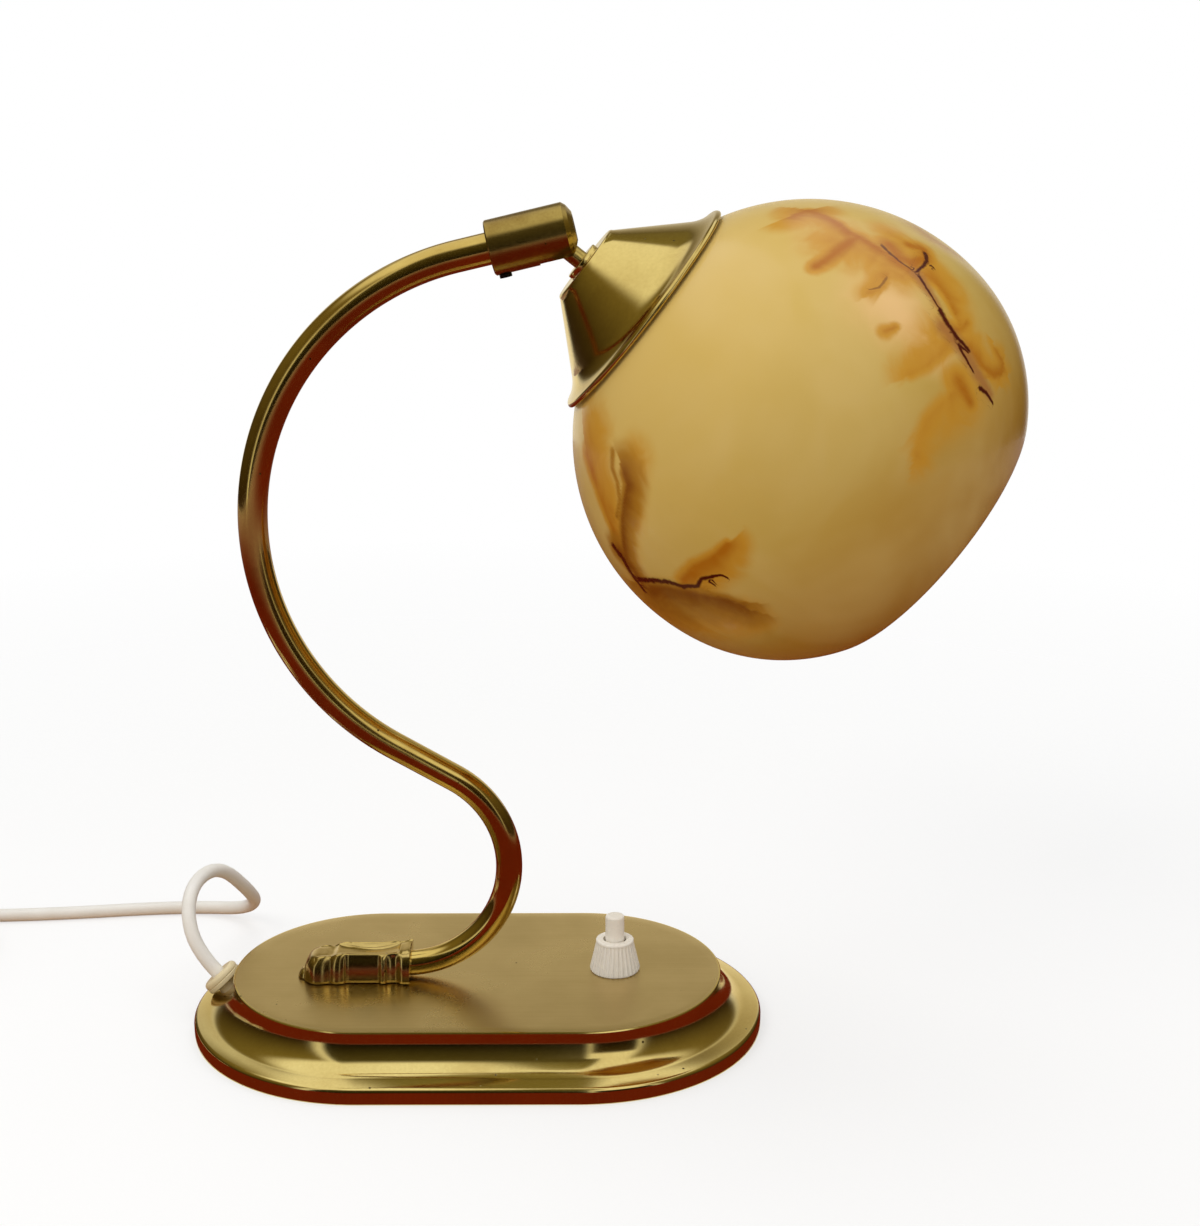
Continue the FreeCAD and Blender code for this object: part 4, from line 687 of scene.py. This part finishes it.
# The powders' strokes as they lie on the glass: the powder, the stroke's width in millimetres, its
# strength, the side that its wash falls to (1 left of the line's way, -1 right, 0 both), and its
# line as (distance along the head's axis from the ball, turn about that axis in degrees, 0 on the
# side towards the viewer and 90 on top).
STROKES = [
    ("amber", 4.2, 0.95, -1, [(65.6, 68.0), (69.0, 71.9), (74.3, 68.5), (79.2, 64.7), (83.4, 61.3),
        (91.2, 59.0), (99.0, 57.3), (105.9, 56.0), (110.0, 56.5)]),
    ("amber", 3.4, 1.00, 0, [(86.4, 59.3), (83.9, 54.5), (82.2, 49.9), (80.9, 46.5), (79.2, 43.3)]),
    ("amber", 8.0, 0.62, 0, [(80.8, 56.5), (90.3, 54.1), (99.1, 52.7), (105.2, 52.2)]),
    ("amber", 3.2, 0.70, -1, [(101.0, 49.9), (101.6, 45.6), (99.2, 42.0)]),
    ("vein", 0.6, 0.40, 0, [(101.1, 49.1), (100.7, 45.1), (98.0, 43.0)]),
    ("amber", 4.4, 1.00, 0, [(97.4, 61.2), (101.6, 58.2), (106.8, 58.3), (110.4, 64.0), (108.9, 67.4),
        (103.5, 65.8)]),
    ("amber", 5.0, 0.60, 0, [(95.6, 67.7), (100.4, 66.3), (106.3, 67.1)]),
    ("mauve", 7.0, 0.62, 0, [(106.3, 82.4), (111.1, 79.1), (117.1, 78.8), (123.4, 81.3)]),
    ("vein", 1.3, 1.00, 0, [(109.9, 66.2), (111.6, 62.8), (109.7, 56.4)]),
    ("vein", 1.0, 0.80, 0, [(111.6, 62.8), (114.8, 61.9)]),
    ("vein", 0.8, 0.60, 0, [(95.0, 60.0), (98.8, 57.9), (103.3, 56.6), (108.4, 56.0)]),
    ("mauve", 2.6, 0.90, 0, [(110.4, 55.4), (116.2, 52.8), (121.8, 50.3)]),
    ("vein", 0.8, 0.75, 0, [(110.8, 55.5), (116.6, 52.5), (122.5, 49.8)]),
    ("vein", 1.6, 1.00, 0, [(122.5, 49.8), (127.8, 47.7), (133.5, 46.5), (139.5, 46.3)]),
    ("mauve", 3.4, 0.95, 0, [(127.1, 46.1), (133.5, 45.5), (139.5, 44.8), (145.2, 43.5), (151.2, 43.1),
        (155.4, 42.7)]),
    ("vein", 0.9, 0.90, 0, [(129.4, 46.5), (137.4, 44.4), (144.8, 42.7)]),
    ("vein", 1.1, 1.00, 0, [(150.2, 41.2), (153.5, 42.0), (158.3, 42.0)]),
    ("amber", 5.0, 0.80, 1, [(113.5, 57.3), (119.0, 56.7), (123.6, 54.8), (128.1, 52.5),
        (131.7, 50.4)]),
    ("amber", 3.0, 0.85, 0, [(129.7, 47.0), (133.1, 49.4), (134.3, 53.3)]),
    ("amber", 3.6, 0.85, 1, [(139.8, 46.6), (146.6, 46.2), (153.0, 47.4), (156.3, 51.4), (155.4, 54.6),
        (150.3, 55.4)]),
    ("peach", 16.0, 0.95, 0, [(106.2, 43.1), (113.1, 41.0), (120.0, 39.8), (127.1, 39.5)]),
    ("amber", 1.8, 0.80, 0, [(109.9, 35.1), (112.1, 37.7)]),
    ("amber", 5.0, 0.62, -1, [(131.9, 42.0), (130.4, 38.5), (128.4, 34.0), (125.3, 30.0)]),
    ("amber", 4.0, 0.95, 0, [(141.8, 37.6), (145.7, 36.7), (150.0, 36.0)]),
    ("amber", 5.0, 0.62, 1, [(142.8, 34.9), (140.3, 28.9), (139.2, 24.6), (140.2, 20.7),
        (142.9, 16.5)]),
    ("amber", 6.5, 0.85, 1, [(59.2, -58.7), (63.0, -57.6), (69.0, -57.0), (76.4, -56.9), (84.1, -58.3),
        (88.6, -60.8)]),
    ("rust", 1.0, 0.70, 0, [(64.2, -40.8), (67.9, -44.1), (72.2, -44.3), (77.1, -47.0), (80.6, -52.4)]),
    ("rust", 3.4, 0.95, 1, [(71.6, -40.0), (75.0, -40.4), (79.0, -46.4), (84.9, -52.9), (94.2, -60.9)]),
    ("amber", 5.0, 0.60, 0, [(70.5, -32.9), (76.5, -39.2), (84.5, -46.6), (89.3, -53.6)]),
    ("vein", 2.4, 0.75, 0, [(87.4, -63.3), (93.8, -62.4), (101.3, -63.9), (108.1, -64.6)]),
    ("rust", 4.5, 0.90, 0, [(91.0, -61.2), (99.0, -60.6), (106.4, -62.5), (111.7, -56.5)]),
    ("vein", 1.5, 1.00, 0, [(102.2, -62.6), (105.8, -55.2), (109.3, -50.1), (113.7, -47.4),
        (116.6, -43.5), (115.8, -40.2), (118.0, -36.6)]),
    ("vein", 0.8, 0.90, 0, [(118.0, -36.6), (119.4, -35.0), (121.8, -34.6)]),
    ("vein", 0.8, 0.80, 0, [(116.9, -39.6), (120.5, -39.0)]),
    ("rust", 6.0, 0.95, -1, [(107.4, -59.3), (111.4, -52.5), (117.4, -47.4), (122.7, -43.9),
        (127.9, -40.7), (133.5, -39.5)]),
    ("amber", 4.6, 0.95, -1, [(111.6, -45.3), (110.8, -38.7), (112.6, -33.1), (112.9, -29.6),
        (112.8, -27.0)]),
    ("amber", 10.0, 0.60, 0, [(114.9, -68.4), (124.4, -59.5), (133.1, -49.2), (137.9, -42.7)]),
]
# The same work on the far side: another turn and shift of the strokes above.
FAR_SIDE = [
    (powder, width, strength, -fall, [(along * 0.97 + 5, 214 - turn * 0.94) for along, turn in line])
    for powder, width, strength, fall, line in STROKES]


# How many of its widths away a point counts as off every vein, how far a powder spreads from its
# stroke's line in widths, and how a wash narrows its crisp side and widens the side it falls to.
FAR_OFF = 9.0
SPREADS = {"peach": 1.6, "amber": 2.6, "rust": 2.6, "mauve": 2.0}
CRISP, DRAWN_OUT = 2.2, 0.6


def near_strokes(points, outwards, strokes, radius_at):
    """For each powder, how near each point lies to a stroke: its strength on the line, 0 at the edge.

    A vein is thinner than the mesh is fine, so it gets two fields: how far a point lies beside its
    line, with a sign, and how much there is of the vein close to it.
    """
    fields = {name: np.zeros(len(points)) for name in ("peach", "amber", "rust", "mauve", "vein")}
    fields["vein_off"] = np.full(len(points), FAR_OFF)
    for powder, width, strength, fall, line in strokes:
        spots = []
        for along, turn in line:
            angle = math.radians(turn)
            spots.append(np.array(BALL + HEAD * along + radius_at(along)
                                  * (TOWARDS_CAMERA * math.cos(angle) + HEAD_UP * math.sin(angle))))
        gap, beside, past = np.full(len(points), 1e9), np.zeros(len(points)), np.zeros(len(points))
        for number, (start, end) in enumerate(zip(spots, spots[1:])):
            way = end - start
            length = np.linalg.norm(way)
            run = (points - start) @ way / length ** 2
            part = np.clip(run, 0, 1)
            away = points - start - part[:, None] * way
            off = np.linalg.norm(away, axis=1)
            side = np.einsum("ij,ij->i", np.cross(way, away), outwards)
            if fall:
                # The powder's own edge is crisp; on the other side it was drawn out into a wash.
                off *= np.where(side * fall > 0, DRAWN_OUT, CRISP)
            # A stroke thins towards its last point, as powder does where it is drawn out.
            slim = 1 - 0.4 * (number + part) / (len(spots) - 1)
            nearer = off / slim < gap
            gap = np.where(nearer, off / slim, gap)
            beside = np.where(nearer, np.copysign(off, side), beside)
            low, high = number == 0, number == len(spots) - 2
            over = np.maximum(-run if low else 0, run - 1 if high else 0) * length
            past = np.where(nearer, np.maximum(over, 0), past)
        if powder == "vein":
            # It ends a few widths beside its line and 1.5 mm past its ends.
            there = strength * np.clip(1.4 - gap / (width * 2.2 + 1.2), 0, 1)
            there *= np.clip(1 - past / 1.5, 0, 1)
            stronger = there > fields["vein"]
            fields["vein"] = np.where(stronger, there, fields["vein"])
            fields["vein_off"] = np.where(stronger, np.copysign(gap, beside) / width, fields["vein_off"])
            continue
        close = strength * np.clip(1 - gap / (width * SPREADS[powder]), 0, 1)
        fields[powder] = np.maximum(fields[powder], close)
    return fields


def make_globe():
    """The globe is blown glass turned about the head's axis; its marbling is in its attributes."""
    outer = spread(outline([(14.2, 38.0), (30.0, 38.6)] + globe_outline(0.0), 1.0), 1.6)
    inner = outline([(14.2, 41.0), (28.0, 42.0)] + globe_outline(GLASS_WALL), 4.0)
    # The mouth's edge was ground and fire-polished: half round between the two faces.
    last, first = outer[-1], inner[-1]
    middle, half = (last + first) / 2, (last - first) / 2
    bulge = Vector((-half.y, half.x)) if half.x > 0 else Vector((half.y, -half.x))
    edge = [middle + half * math.cos(t) + bulge * math.sin(t) * 0.9
            for t in (math.pi * n / 8 for n in range(1, 8))]
    profile = outer + edge + list(reversed(inner))
    points, faces = turned(profile, BALL, HEAD, GLOBE_COUNT)
    mesh = piece("opal_globe", points, faces, "head", ["glass_globe"], [globe_glass, inner_glass],
                 50).data
    place = np.empty(len(mesh.vertices) * 3)
    mesh.vertices.foreach_get("co", place)
    place = place.reshape(-1, 3) / MM
    along = (place - np.array(BALL)) @ np.array(HEAD)
    outwards = place - np.array(BALL) - along[:, None] * np.array(HEAD)
    around = np.linalg.norm(outwards, axis=1)
    face_along = sorted((p.y, p.x) for p in outer)

    def radius_at(height):
        """The glass's outer radius at a distance along the axis."""
        for (low, r_low), (high, r_high) in zip(face_along, face_along[1:]):
            if low <= height <= high and high > low:
                return r_low + (r_high - r_low) * (height - low) / (high - low)
        return face_along[-1][1]

    fields = near_strokes(place, outwards, STROKES + FAR_SIDE, radius_at)
    # Painted shade: the glass darkens towards the mouth, the globe's lower end, as if less light reached
    # it.
    fields["depth"] = np.clip((along - 46.0) / 142.0, 0, 1)
    for name, values in fields.items():
        mesh.attributes.new(name, "FLOAT", "POINT").data.foreach_set("value", values)
    heights, radii = zip(*((p.y, p.x) for p in sorted(inner, key=lambda p: p.y)))
    is_inner = (around < np.interp(along, heights, radii) + 0.8) & (along > 40.0)
    for face in mesh.polygons:
        face.material_index = int(all(is_inner[v] for v in face.vertices))


make_globe()


def make_bulb():
    """A round frosted bulb; its base's screw thread follows a helix in a tree."""
    neck, tip, radius = 56.3, 112.3, 22.5
    centre = tip - radius
    glass = outline([(0, neck), (6.5, neck), (8.3, neck + 6.0, 14.0, -1), (18.0, centre - 13.5),
                     (radius, centre, radius, 1), (0, tip, radius, 1)], 0.8)
    lathe("bulb_round_frosted", glass, BALL, HEAD, 96, "head", ["bulb_glass"], frosted_bulb,
          40)
    seat, pitch, turns, steps, core, wire = 37.4, 2.8, 6, 32, 6.35, 0.34
    side, up = axes(HEAD)
    line = []
    for n in range(turns * steps + 1):
        angle = 2 * math.pi * n / steps
        line.append(BALL + HEAD * (seat + pitch * n / steps)
                    + core * (side * math.cos(angle) + up * math.sin(angle)))
    tree, given = new_tree("rolled_thread", {"Wire": ("Float", 0.0), "Metal": ("Material", None)})
    end_tree(tree, pipe(tree, given["Geometry"], 10, given["Wire"]), given["Metal"])
    mesh = grown("bulb_thread", line_mesh("thread_line", line), tree, {"Wire": wire * MM, "Metal": nickel})
    dress("bulb_base_thread", mesh, "head", [], 60)


make_bulb()


# ---------------------------------------------------------------- switch

SWITCH_X = 57.2


def make_switch():
    """The bezel is a turned cone with ribs; a tree stands the ribs round it."""
    centre, up = Vector((SWITCH_X, 0, PLATE_HEIGHT)), Vector((0, 0, 1))
    profile = outline([(6.08, 0.0), (9.7, 0.0), (10.0, 0.3, 0.3, 1), (10.0, 1.2), (7.5, 11.9), (7.5, 12.4),
                       (7.9, 12.6), (7.9, 13.0), (7.1, 13.8, 0.8, 1), (5.3, 13.8), (4.8, 13.4, 0.4, 1),
                       (4.8, 11.2), (6.08, 11.2)], 0.3)
    lathe("switch_bezel_cone", profile, centre, up, 104, "base", ["switch_bezel"],
          moulded_urea, 30)
    line = [centre + Vector((out, 0, height)) for out, height in (
        (9.75, 0.5), (9.75, 1.4), (9.0, 4.6), (8.0, 8.9), (7.28, 12.0), (7.15, 12.5))]
    tree, given = new_tree("ribs_round_a_cone", {
        "Ribs": ("Int", 1), "Rib Radius": ("Float", 0.0), "Centre": ("Vector", (0, 0, 0)),
        "Resin": ("Material", None)})
    rib = pipe(tree, given["Geometry"], 12, given["Rib Radius"])
    back = add(tree, "ShaderNodeVectorMath", {0: given["Centre"], 1: (-1, -1, -1)}, operation="MULTIPLY")
    centred = add(tree, "GeometryNodeTransform", {"Geometry": rib, "Translation": back})
    spots = add(tree, "GeometryNodePoints", {"Count": given["Ribs"], "Position": given["Centre"]})
    number = add(tree, "GeometryNodeInputIndex")
    share = add(tree, "ShaderNodeMath", {0: number, 1: given["Ribs"]}, operation="DIVIDE")
    angle = add(tree, "ShaderNodeMath", {0: share, 1: 2 * math.pi}, operation="MULTIPLY")
    turn = add(tree, "ShaderNodeCombineXYZ", {"Z": angle})
    stood = add(tree, "GeometryNodeInstanceOnPoints", {
        "Points": spots, "Instance": centred, "Rotation": turn})
    end_tree(tree, stood, given["Resin"])
    mesh = grown("switch_ribs", line_mesh("rib_line", line), tree, {
        "Ribs": 30, "Rib Radius": 0.62 * MM, "Centre": tuple(centre * MM), "Resin": moulded_urea})
    dress("switch_bezel_ribs", mesh, "base", [], 50)
    button = outline([(0, -6.5), (6.0, -6.5), (6.0, -4.5), (3.93, -4.5), (3.93, 23.3),
                      (3.55, 23.95, 0.7, 1), (3.0, 24.2), (0, 24.2)], 0.25)
    lathe("switch_push_button", button, centre, up, 64, "button", ["switch_button"],
          moulded_urea, 30)


make_switch()


# ---------------------------------------------------------------- cord

CORD_RADIUS = 3.0
CORD_EXIT = Vector((-110.52, 8.24, 17.11))
CORD_ROUTE = [
    (-119.2, 9.3, 26.7), (-124.5, 17.7, 41.0), (-123.2, 33.1, 49.2), (-116.0, 53.1, 47.0),
    (-107.5, 72.3, 27.1), (-107.8, 89.4, 14.2), (-117.2, 102.1, 5.5), (-135.7, 109.6, 3.0),
    (-162.8, 108.0, 3.0), (-196.0, 103.0, 3.0), (-231.0, 100.0, 3.0), (-264.0, 100.0, 3.0)]
COIL_MIDDLE, COIL_PITCH, COIL_LAYER, COIL_TURNS, COIL_LEAD = 32.0, 7.0, 6.8, 7.375, 6.5


def coil_point(turns):
    """The coil winds inwards on the table, climbs one layer at its middle and winds out again."""
    middle = COIL_TURNS / 2
    inner = COIL_MIDDLE - COIL_PITCH * middle / 2
    radius = inner + COIL_PITCH * math.hypot(turns - middle, 0.15)
    outer = inner + COIL_PITCH * math.hypot(middle, 0.15)
    height = COIL_LAYER * ease(turns - middle, -0.25, 0.25)
    angle = math.pi / 2 + 2 * math.pi * turns
    x, y, z = CORD_ROUTE[-1]
    return Vector((x - COIL_LEAD + radius * math.cos(angle), y - outer + radius * math.sin(angle),
                   z + height))


def cord_way():
    """The level direction in which the cord leaves its coil."""
    way = coil_point(COIL_TURNS) - coil_point(COIL_TURNS - 0.002)
    way.z = 0
    return way.normalized()


def cord_points():
    """The cord's whole way: from the bush to the table, round the coil and up into the plug."""
    points = [CORD_EXIT] + [Vector(p) for p in CORD_ROUTE]
    steps = int(COIL_TURNS * 24)
    points += [coil_point(COIL_TURNS * n / steps) for n in range(steps + 1)]
    end = points[-1]
    for along, height in ((8, 9.6), (18, 7.3), (26, 6.9), (32.5, 6.9)):
        point = end + cord_way() * along
        point.z = height
        points.append(point)
    return points


PLUG_START = cord_points()[-1]


PIN_SPACING = 18.6


def level_frame(way):
    """Turns (along, across, up) to the lamp's axes, for something that lies along a level way."""
    return Matrix((way, way.cross(Vector((0, 0, 1))) * -1, Vector((0, 0, 1)))).transposed()


def make_plug():
    """The plug is moulded on the cord: a ribbed sleeve, a waist and a flat oval body."""
    turn = level_frame(cord_way())
    # Distance along, half width, half thickness, and how square the section is.
    stations = [(0, 3.3, 3.3, 2.0), (0.0, 4.2, 4.2, 2.0)]
    for rib in range(6):
        x, radius = 0.4 + 2.9 * rib, 4.3 + 0.32 * rib
        for on, out in ((0.0, 0.0), (1.7, 0.1), (2.0, -0.7), (2.6, -0.7)):
            stations.append((x + on, radius + out, radius + out, 2.0))
    stations += [(18.2, 7.0, 6.0, 2.1), (20.5, 9.6, 6.4, 2.3), (24.0, 11.6, 6.6, 2.6),
                 (28.5, 12.2, 6.75, 2.9), (33.0, 11.9, 6.5, 3.0), (38.5, 11.7, 6.4, 3.0),
                 (43.0, 12.3, 6.75, 3.1), (50.0, 12.8, 6.85, 3.2), (52.4, 12.75, 6.8, 3.2),
                 (53.0, 12.2, 6.3, 3.2)]
    count = 72
    points = []
    for along, wide, thick, square in stations:
        for n in range(count):
            angle = 2 * math.pi * n / count
            across, up = math.cos(angle), math.sin(angle)
            spot = Vector((along, wide * math.copysign(abs(across) ** (2 / square), across),
                           thick * math.copysign(abs(up) ** (2 / square), up)))
            points.append(PLUG_START + turn @ spot)
    return piece("plug_moulded", points, grid(len(stations), count, caps=True), "base", ["plug_body"],
                 [pvc_plug], 35)


def make_pins():
    """Two round pins with domed ends."""
    way = cord_way()
    turn = level_frame(way)
    profile = outline([(0, 52.0), (2.0, 52.0), (2.0, 70.6), (1.2, 71.8, 1.6, 1), (0, 72.0)], 0.3)
    points, faces = [], []
    for side in (-PIN_SPACING / 2, PIN_SPACING / 2):
        spots, rings = turned(profile, PLUG_START + turn @ Vector((0, side, 0)), way, 40)
        faces += [[len(points) + corner for corner in ring] for ring in rings]
        points += spots
    return piece("plug_round_pins", points, faces, "base", ["plug_pins"], [pin_brass], 35)


def make_cord(plug, pins):
    """The cord is one curve, which stands for the CAD's free cord and coil."""
    curve = bpy.data.curves.new("mains_cord", "CURVE")
    curve.dimensions = "3D"
    curve.bevel_depth = CORD_RADIUS * MM
    curve.bevel_resolution = 6
    curve.resolution_u = 5
    curve.use_fill_caps = True
    curve.materials.append(pvc_cord)
    spline = curve.splines.new("NURBS")
    points = cord_points()
    spline.points.add(len(points) - 1)
    for item, point in zip(spline.points, points):
        item.co = (*(point * MM), 1)
    spline.order_u = 3
    spline.use_endpoint_u = True
    cord = put("mains_cord", curve)
    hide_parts("cord", "cord_coil")
    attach(cord, "base")


make_cord(make_plug(), make_pins())


def make_bush():
    """The bush that the cord leaves by: a domed disc across the cove, split round its middle."""
    rise, azimuth = math.radians(47.6), math.radians(173.0)
    way = Vector((math.cos(rise) * math.cos(azimuth), math.cos(rise) * math.sin(azimuth), math.sin(rise)))
    seat = CORD_EXIT - way * 5.0
    profile = outline([(3.0, -5.0), (4.6, -5.0), (4.6, 0.0), (7.4, 0.0), (8.0, 0.8, 0.8, 1), (8.0, 1.9),
                       (7.75, 2.1), (7.75, 2.4), (8.0, 2.6), (8.0, 3.3), (6.3, 5.0, 1.8, 1), (3.6, 5.0),
                       (3.0, 4.5, 0.6, 1)], 0.3)
    lathe("cord_bush_ring", profile, seat, way, 72, "base", ["cord_bush"], aged_urea, 35)


make_bush()


# ---------------------------------------------------------------- pieces kept from the frame

# Pieces inside the lamp, and the joint's plain turned ones, whose form in the frame is complete.
KEPT = {
    "base_weight": cast_iron, "bottom_cover": steel_cover, "felt_pad": wool_felt,
    "cover_screws": plated_steel, "paw_screws": plated_steel, "cap_nut": plated_steel,
    "spring_washer": plated_steel, "switch_spring": plated_steel, "switch_lugs": pin_brass,
    "barrel_screw": blackened_steel, "joint_barrel": turned_joint, "ball_stem": turned_joint,
    "ball_seat": moulded_urea, "holder_shell": phenolic, "holder_core": porcelain,
    "shade_ring": phenolic, "switch_body": phenolic, "cord_clamp": phenolic,
    "bulb_base": nickel, "feed_lead": pvc_cord, "inner_cord": pvc_cord,
}
for node, material in KEPT.items():
    for spot in frame["nodes"][node].material_slots:
        spot.material = material


# ---------------------------------------------------------------- studio

def card_material(name, low, high):
    """A card's own light, from its low colour to its high one; its edges fade away."""
    material, tree = new_material(name)
    height = add(tree, "ShaderNodeAttribute", attribute_name="height").outputs["Fac"]
    edge = add(tree, "ShaderNodeAttribute", attribute_name="edge").outputs["Fac"]
    colour = add(tree, "ShaderNodeMix", {"Factor": height, 6: low, 7: high}, data_type="RGBA")
    light = add(tree, "ShaderNodeEmission", {"Color": colour.outputs[2], "Strength": 1.0})
    clear = add(tree, "ShaderNodeBsdfTransparent")
    mixed = add(tree, "ShaderNodeMixShader", {0: edge, 1: clear, 2: light})
    add(tree, "ShaderNodeOutputMaterial", {"Surface": mixed})
    return material


def card(name, points, faces, heights, edges, low, high):
    """A card that only reflections see: it gives polished brass something darker to mirror."""
    mesh = bpy.data.meshes.new(name)
    mesh.from_pydata(points, [], faces)
    mesh.materials.append(card_material(name, low, high))
    mesh.attributes.new("height", "FLOAT", "POINT").data.foreach_set("value", heights)
    mesh.attributes.new("edge", "FLOAT", "POINT").data.foreach_set("value", edges)
    thing = put(name, mesh)
    thing.visible_camera = thing.visible_diffuse = thing.visible_shadow = False
    thing.visible_transmission = thing.visible_volume_scatter = False


def sky_card(name, azimuths, elevations, low, high, soft, soft_top=0.2, far=1.4):
    """A curved card on a dome of radius far.

    Its azimuths are in degrees to the right of the camera's side; soft and soft_top are the shares
    of it over which its sides and its top fade away.
    """
    steps = 24
    points, heights, edges = [], [], []
    for row in range(steps + 1):
        for column in range(steps + 1):
            u, v = column / steps, row / steps
            turn = math.radians(azimuths[0] + (azimuths[1] - azimuths[0]) * u)
            rise = math.radians(elevations[0] + (elevations[1] - elevations[0]) * v)
            level = far * math.cos(rise)
            points.append((level * math.sin(turn), -level * math.cos(turn), far * math.sin(rise)))
            heights.append(v)
            edges.append(ease(u, 0, soft) * (1 - ease(u, 1 - soft, 1)) * (1 - ease(v, 1 - soft_top, 1)))
    card(name, points, grid(steps + 1, steps + 1, closed=False), heights, edges, low, high)


def table_card():
    """A mahogany-coloured ring just above the paper, from the foot's edge to the other cards."""
    rings, count, near, far, above = 16, 96, 0.0752, 1.38, 0.0005
    points, edges = [], []
    for ring in range(rings + 1):
        part = (ring / rings) ** 1.5
        for n in range(count):
            turn = 2 * math.pi * n / count
            way = Vector((math.cos(turn), math.sin(turn), 0))
            inner = near * way + Vector((math.copysign(HALF_STRAIGHT * MM, way.x), 0, above))
            points.append(tuple(inner.lerp(far * way + Vector((0, 0, above)), part)))
            edges.append(1 - 0.25 * ease(part, 0.3, 1.0))
    card("card_table", points, grid(rings + 1, count), [0.0] * len(points), edges, "#6C220C", "#6C220C")


def make_cards():
    """The room that the brass mirrors: dark in front, where the photographer stood, and lighter behind."""
    table_card()
    sky_card("card_front", (-38, 10), (0, 64), "#0A0402", "#5C5430", 0.12)
    sky_card("card_high", (-6, 20), (48, 89), "#5C5430", "#8E8452", 0.1, 0.04, 1.44)
    sky_card("card_over", (170, 200), (40, 89), "#6E6440", "#8E8452", 0.2, 0.04, 1.44)
    sky_card("card_front_right", (8, 46), (0, 34), "#120A05", "#4A3C1E", 0.1)
    sky_card("card_left", (-152, -36), (0, 58), "#2A1C0C", "#8A7C48", 0.1)
    sky_card("card_right", (42, 152), (0, 58), "#2C1E0E", "#8E8050", 0.1)
    sky_card("card_back", (146, 214), (0, 52), "#FFF6DE", "#5A4E30", 0.1, 0.15)


def make_floor():
    """White paper, which throws light back on the lamp in the warm tone of a wooden table.

    A share of it glows, as overexposed paper looks, and it fades out away from the lamp.
    """
    glowing, fade_from, fade_to, half = 0.62, 0.35, 0.9, 1.5
    material, tree = new_material("paper_matt_white")
    place = add(tree, "ShaderNodeTexCoord").outputs["Object"]
    fibre = add(tree, "ShaderNodeTexNoise", {"Vector": place, "Scale": 900.0, "Detail": 2.0})
    tone = add(tree, "ShaderNodeMix", {"Factor": fibre, 6: "#FFFFFF", 7: "#FBFBFA"}, data_type="RGBA")
    paper = add(tree, "ShaderNodeBsdfDiffuse", {"Color": tone.outputs[2]})
    wood = add(tree, "ShaderNodeBsdfDiffuse", {"Color": "#C4A480"})
    path = add(tree, "ShaderNodeLightPath").outputs["Is Diffuse Ray"]
    glow = add(tree, "ShaderNodeEmission", {"Color": "#FFFFFF", "Strength": 1.0})
    paper = add(tree, "ShaderNodeMixShader", {0: glowing, 1: paper, 2: glow})
    ground = add(tree, "ShaderNodeMixShader", {0: path, 1: paper, 2: wood})
    away = add(tree, "ShaderNodeVectorMath", {0: place}, operation="LENGTH")
    gone = add(tree, "ShaderNodeMapRange", {
        "Value": away.outputs["Value"], "From Min": fade_from, "From Max": fade_to})
    clear = add(tree, "ShaderNodeBsdfTransparent")
    mixed = add(tree, "ShaderNodeMixShader", {0: gone, 1: ground, 2: clear})
    add(tree, "ShaderNodeOutputMaterial", {"Surface": mixed})
    mesh = bpy.data.meshes.new("floor")
    corners = [(-half, -half, 0), (half, -half, 0), (half, half, 0), (-half, half, 0)]
    mesh.from_pydata(corners, [], [(0, 1, 2, 3)])
    mesh.materials.append(material)
    put("floor", mesh)


LAMP_AIM = Vector((0.05, 0, 0.2))


def make_lamp(name, place, size, power, colour):
    """A rectangular light aimed at the lamp's middle; polished brass doesn't mirror it."""
    data = bpy.data.lights.new(name, "AREA")
    data.shape = "RECTANGLE"
    data.size, data.size_y = size
    data.energy = power
    data.color = linear(colour)[:3]
    lamp = put(name, data)
    lamp.location = place
    lamp.rotation_euler = (LAMP_AIM - Vector(place)).to_track_quat("-Z", "Y").to_euler()
    lamp.visible_glossy = False


def make_world():
    """White where the camera, a mirror or glass looks at it; a softer grey as light on the object."""
    world = bpy.data.worlds.new("studio")
    bpy.context.scene.world = world
    world.use_nodes = True
    tree = world.node_tree
    tree.nodes.clear()
    path = add(tree, "ShaderNodeLightPath").outputs
    seen = path["Is Camera Ray"]
    for ray in ("Is Glossy Ray", "Is Transmission Ray"):
        seen = add(tree, "ShaderNodeMath", {0: seen, 1: path[ray]}, operation="MAXIMUM")
    soft = add(tree, "ShaderNodeBackground", {"Color": "#FFFFFF", "Strength": 0.62})
    white = add(tree, "ShaderNodeBackground", {"Color": "#FFFFFF", "Strength": 1.0})
    mixed = add(tree, "ShaderNodeMixShader", {0: seen, 1: soft, 2: white})
    add(tree, "ShaderNodeOutputWorld", {"Surface": mixed})


def make_camera():
    """The photograph's view, solved from the foot's outline and the arm: 15 degrees down."""
    data = bpy.data.cameras.new("camera")
    data.sensor_width = 36.0
    data.lens = 2000 / 1226 * data.sensor_width
    camera = put("camera", data)
    camera.location = (0.0518, -0.7684, 0.3835)
    camera.rotation_euler = (math.radians(74.91), math.radians(0.13), 0)
    bpy.context.scene.camera = camera


make_floor()
make_cards()
make_world()
make_lamp("key", (-0.7, -0.9, 1.3), (0.9, 0.7), 7.5, "#FFFAF2")
make_lamp("top", (0.1, 0.2, 1.5), (1.0, 1.0), 4.5, "#FFFFFF")
make_lamp("fill", (1.1, -0.6, 0.8), (0.6, 0.6), 1.2, "#FFF6EA")
make_camera()
bpy.context.scene.view_settings.view_transform = "Standard"
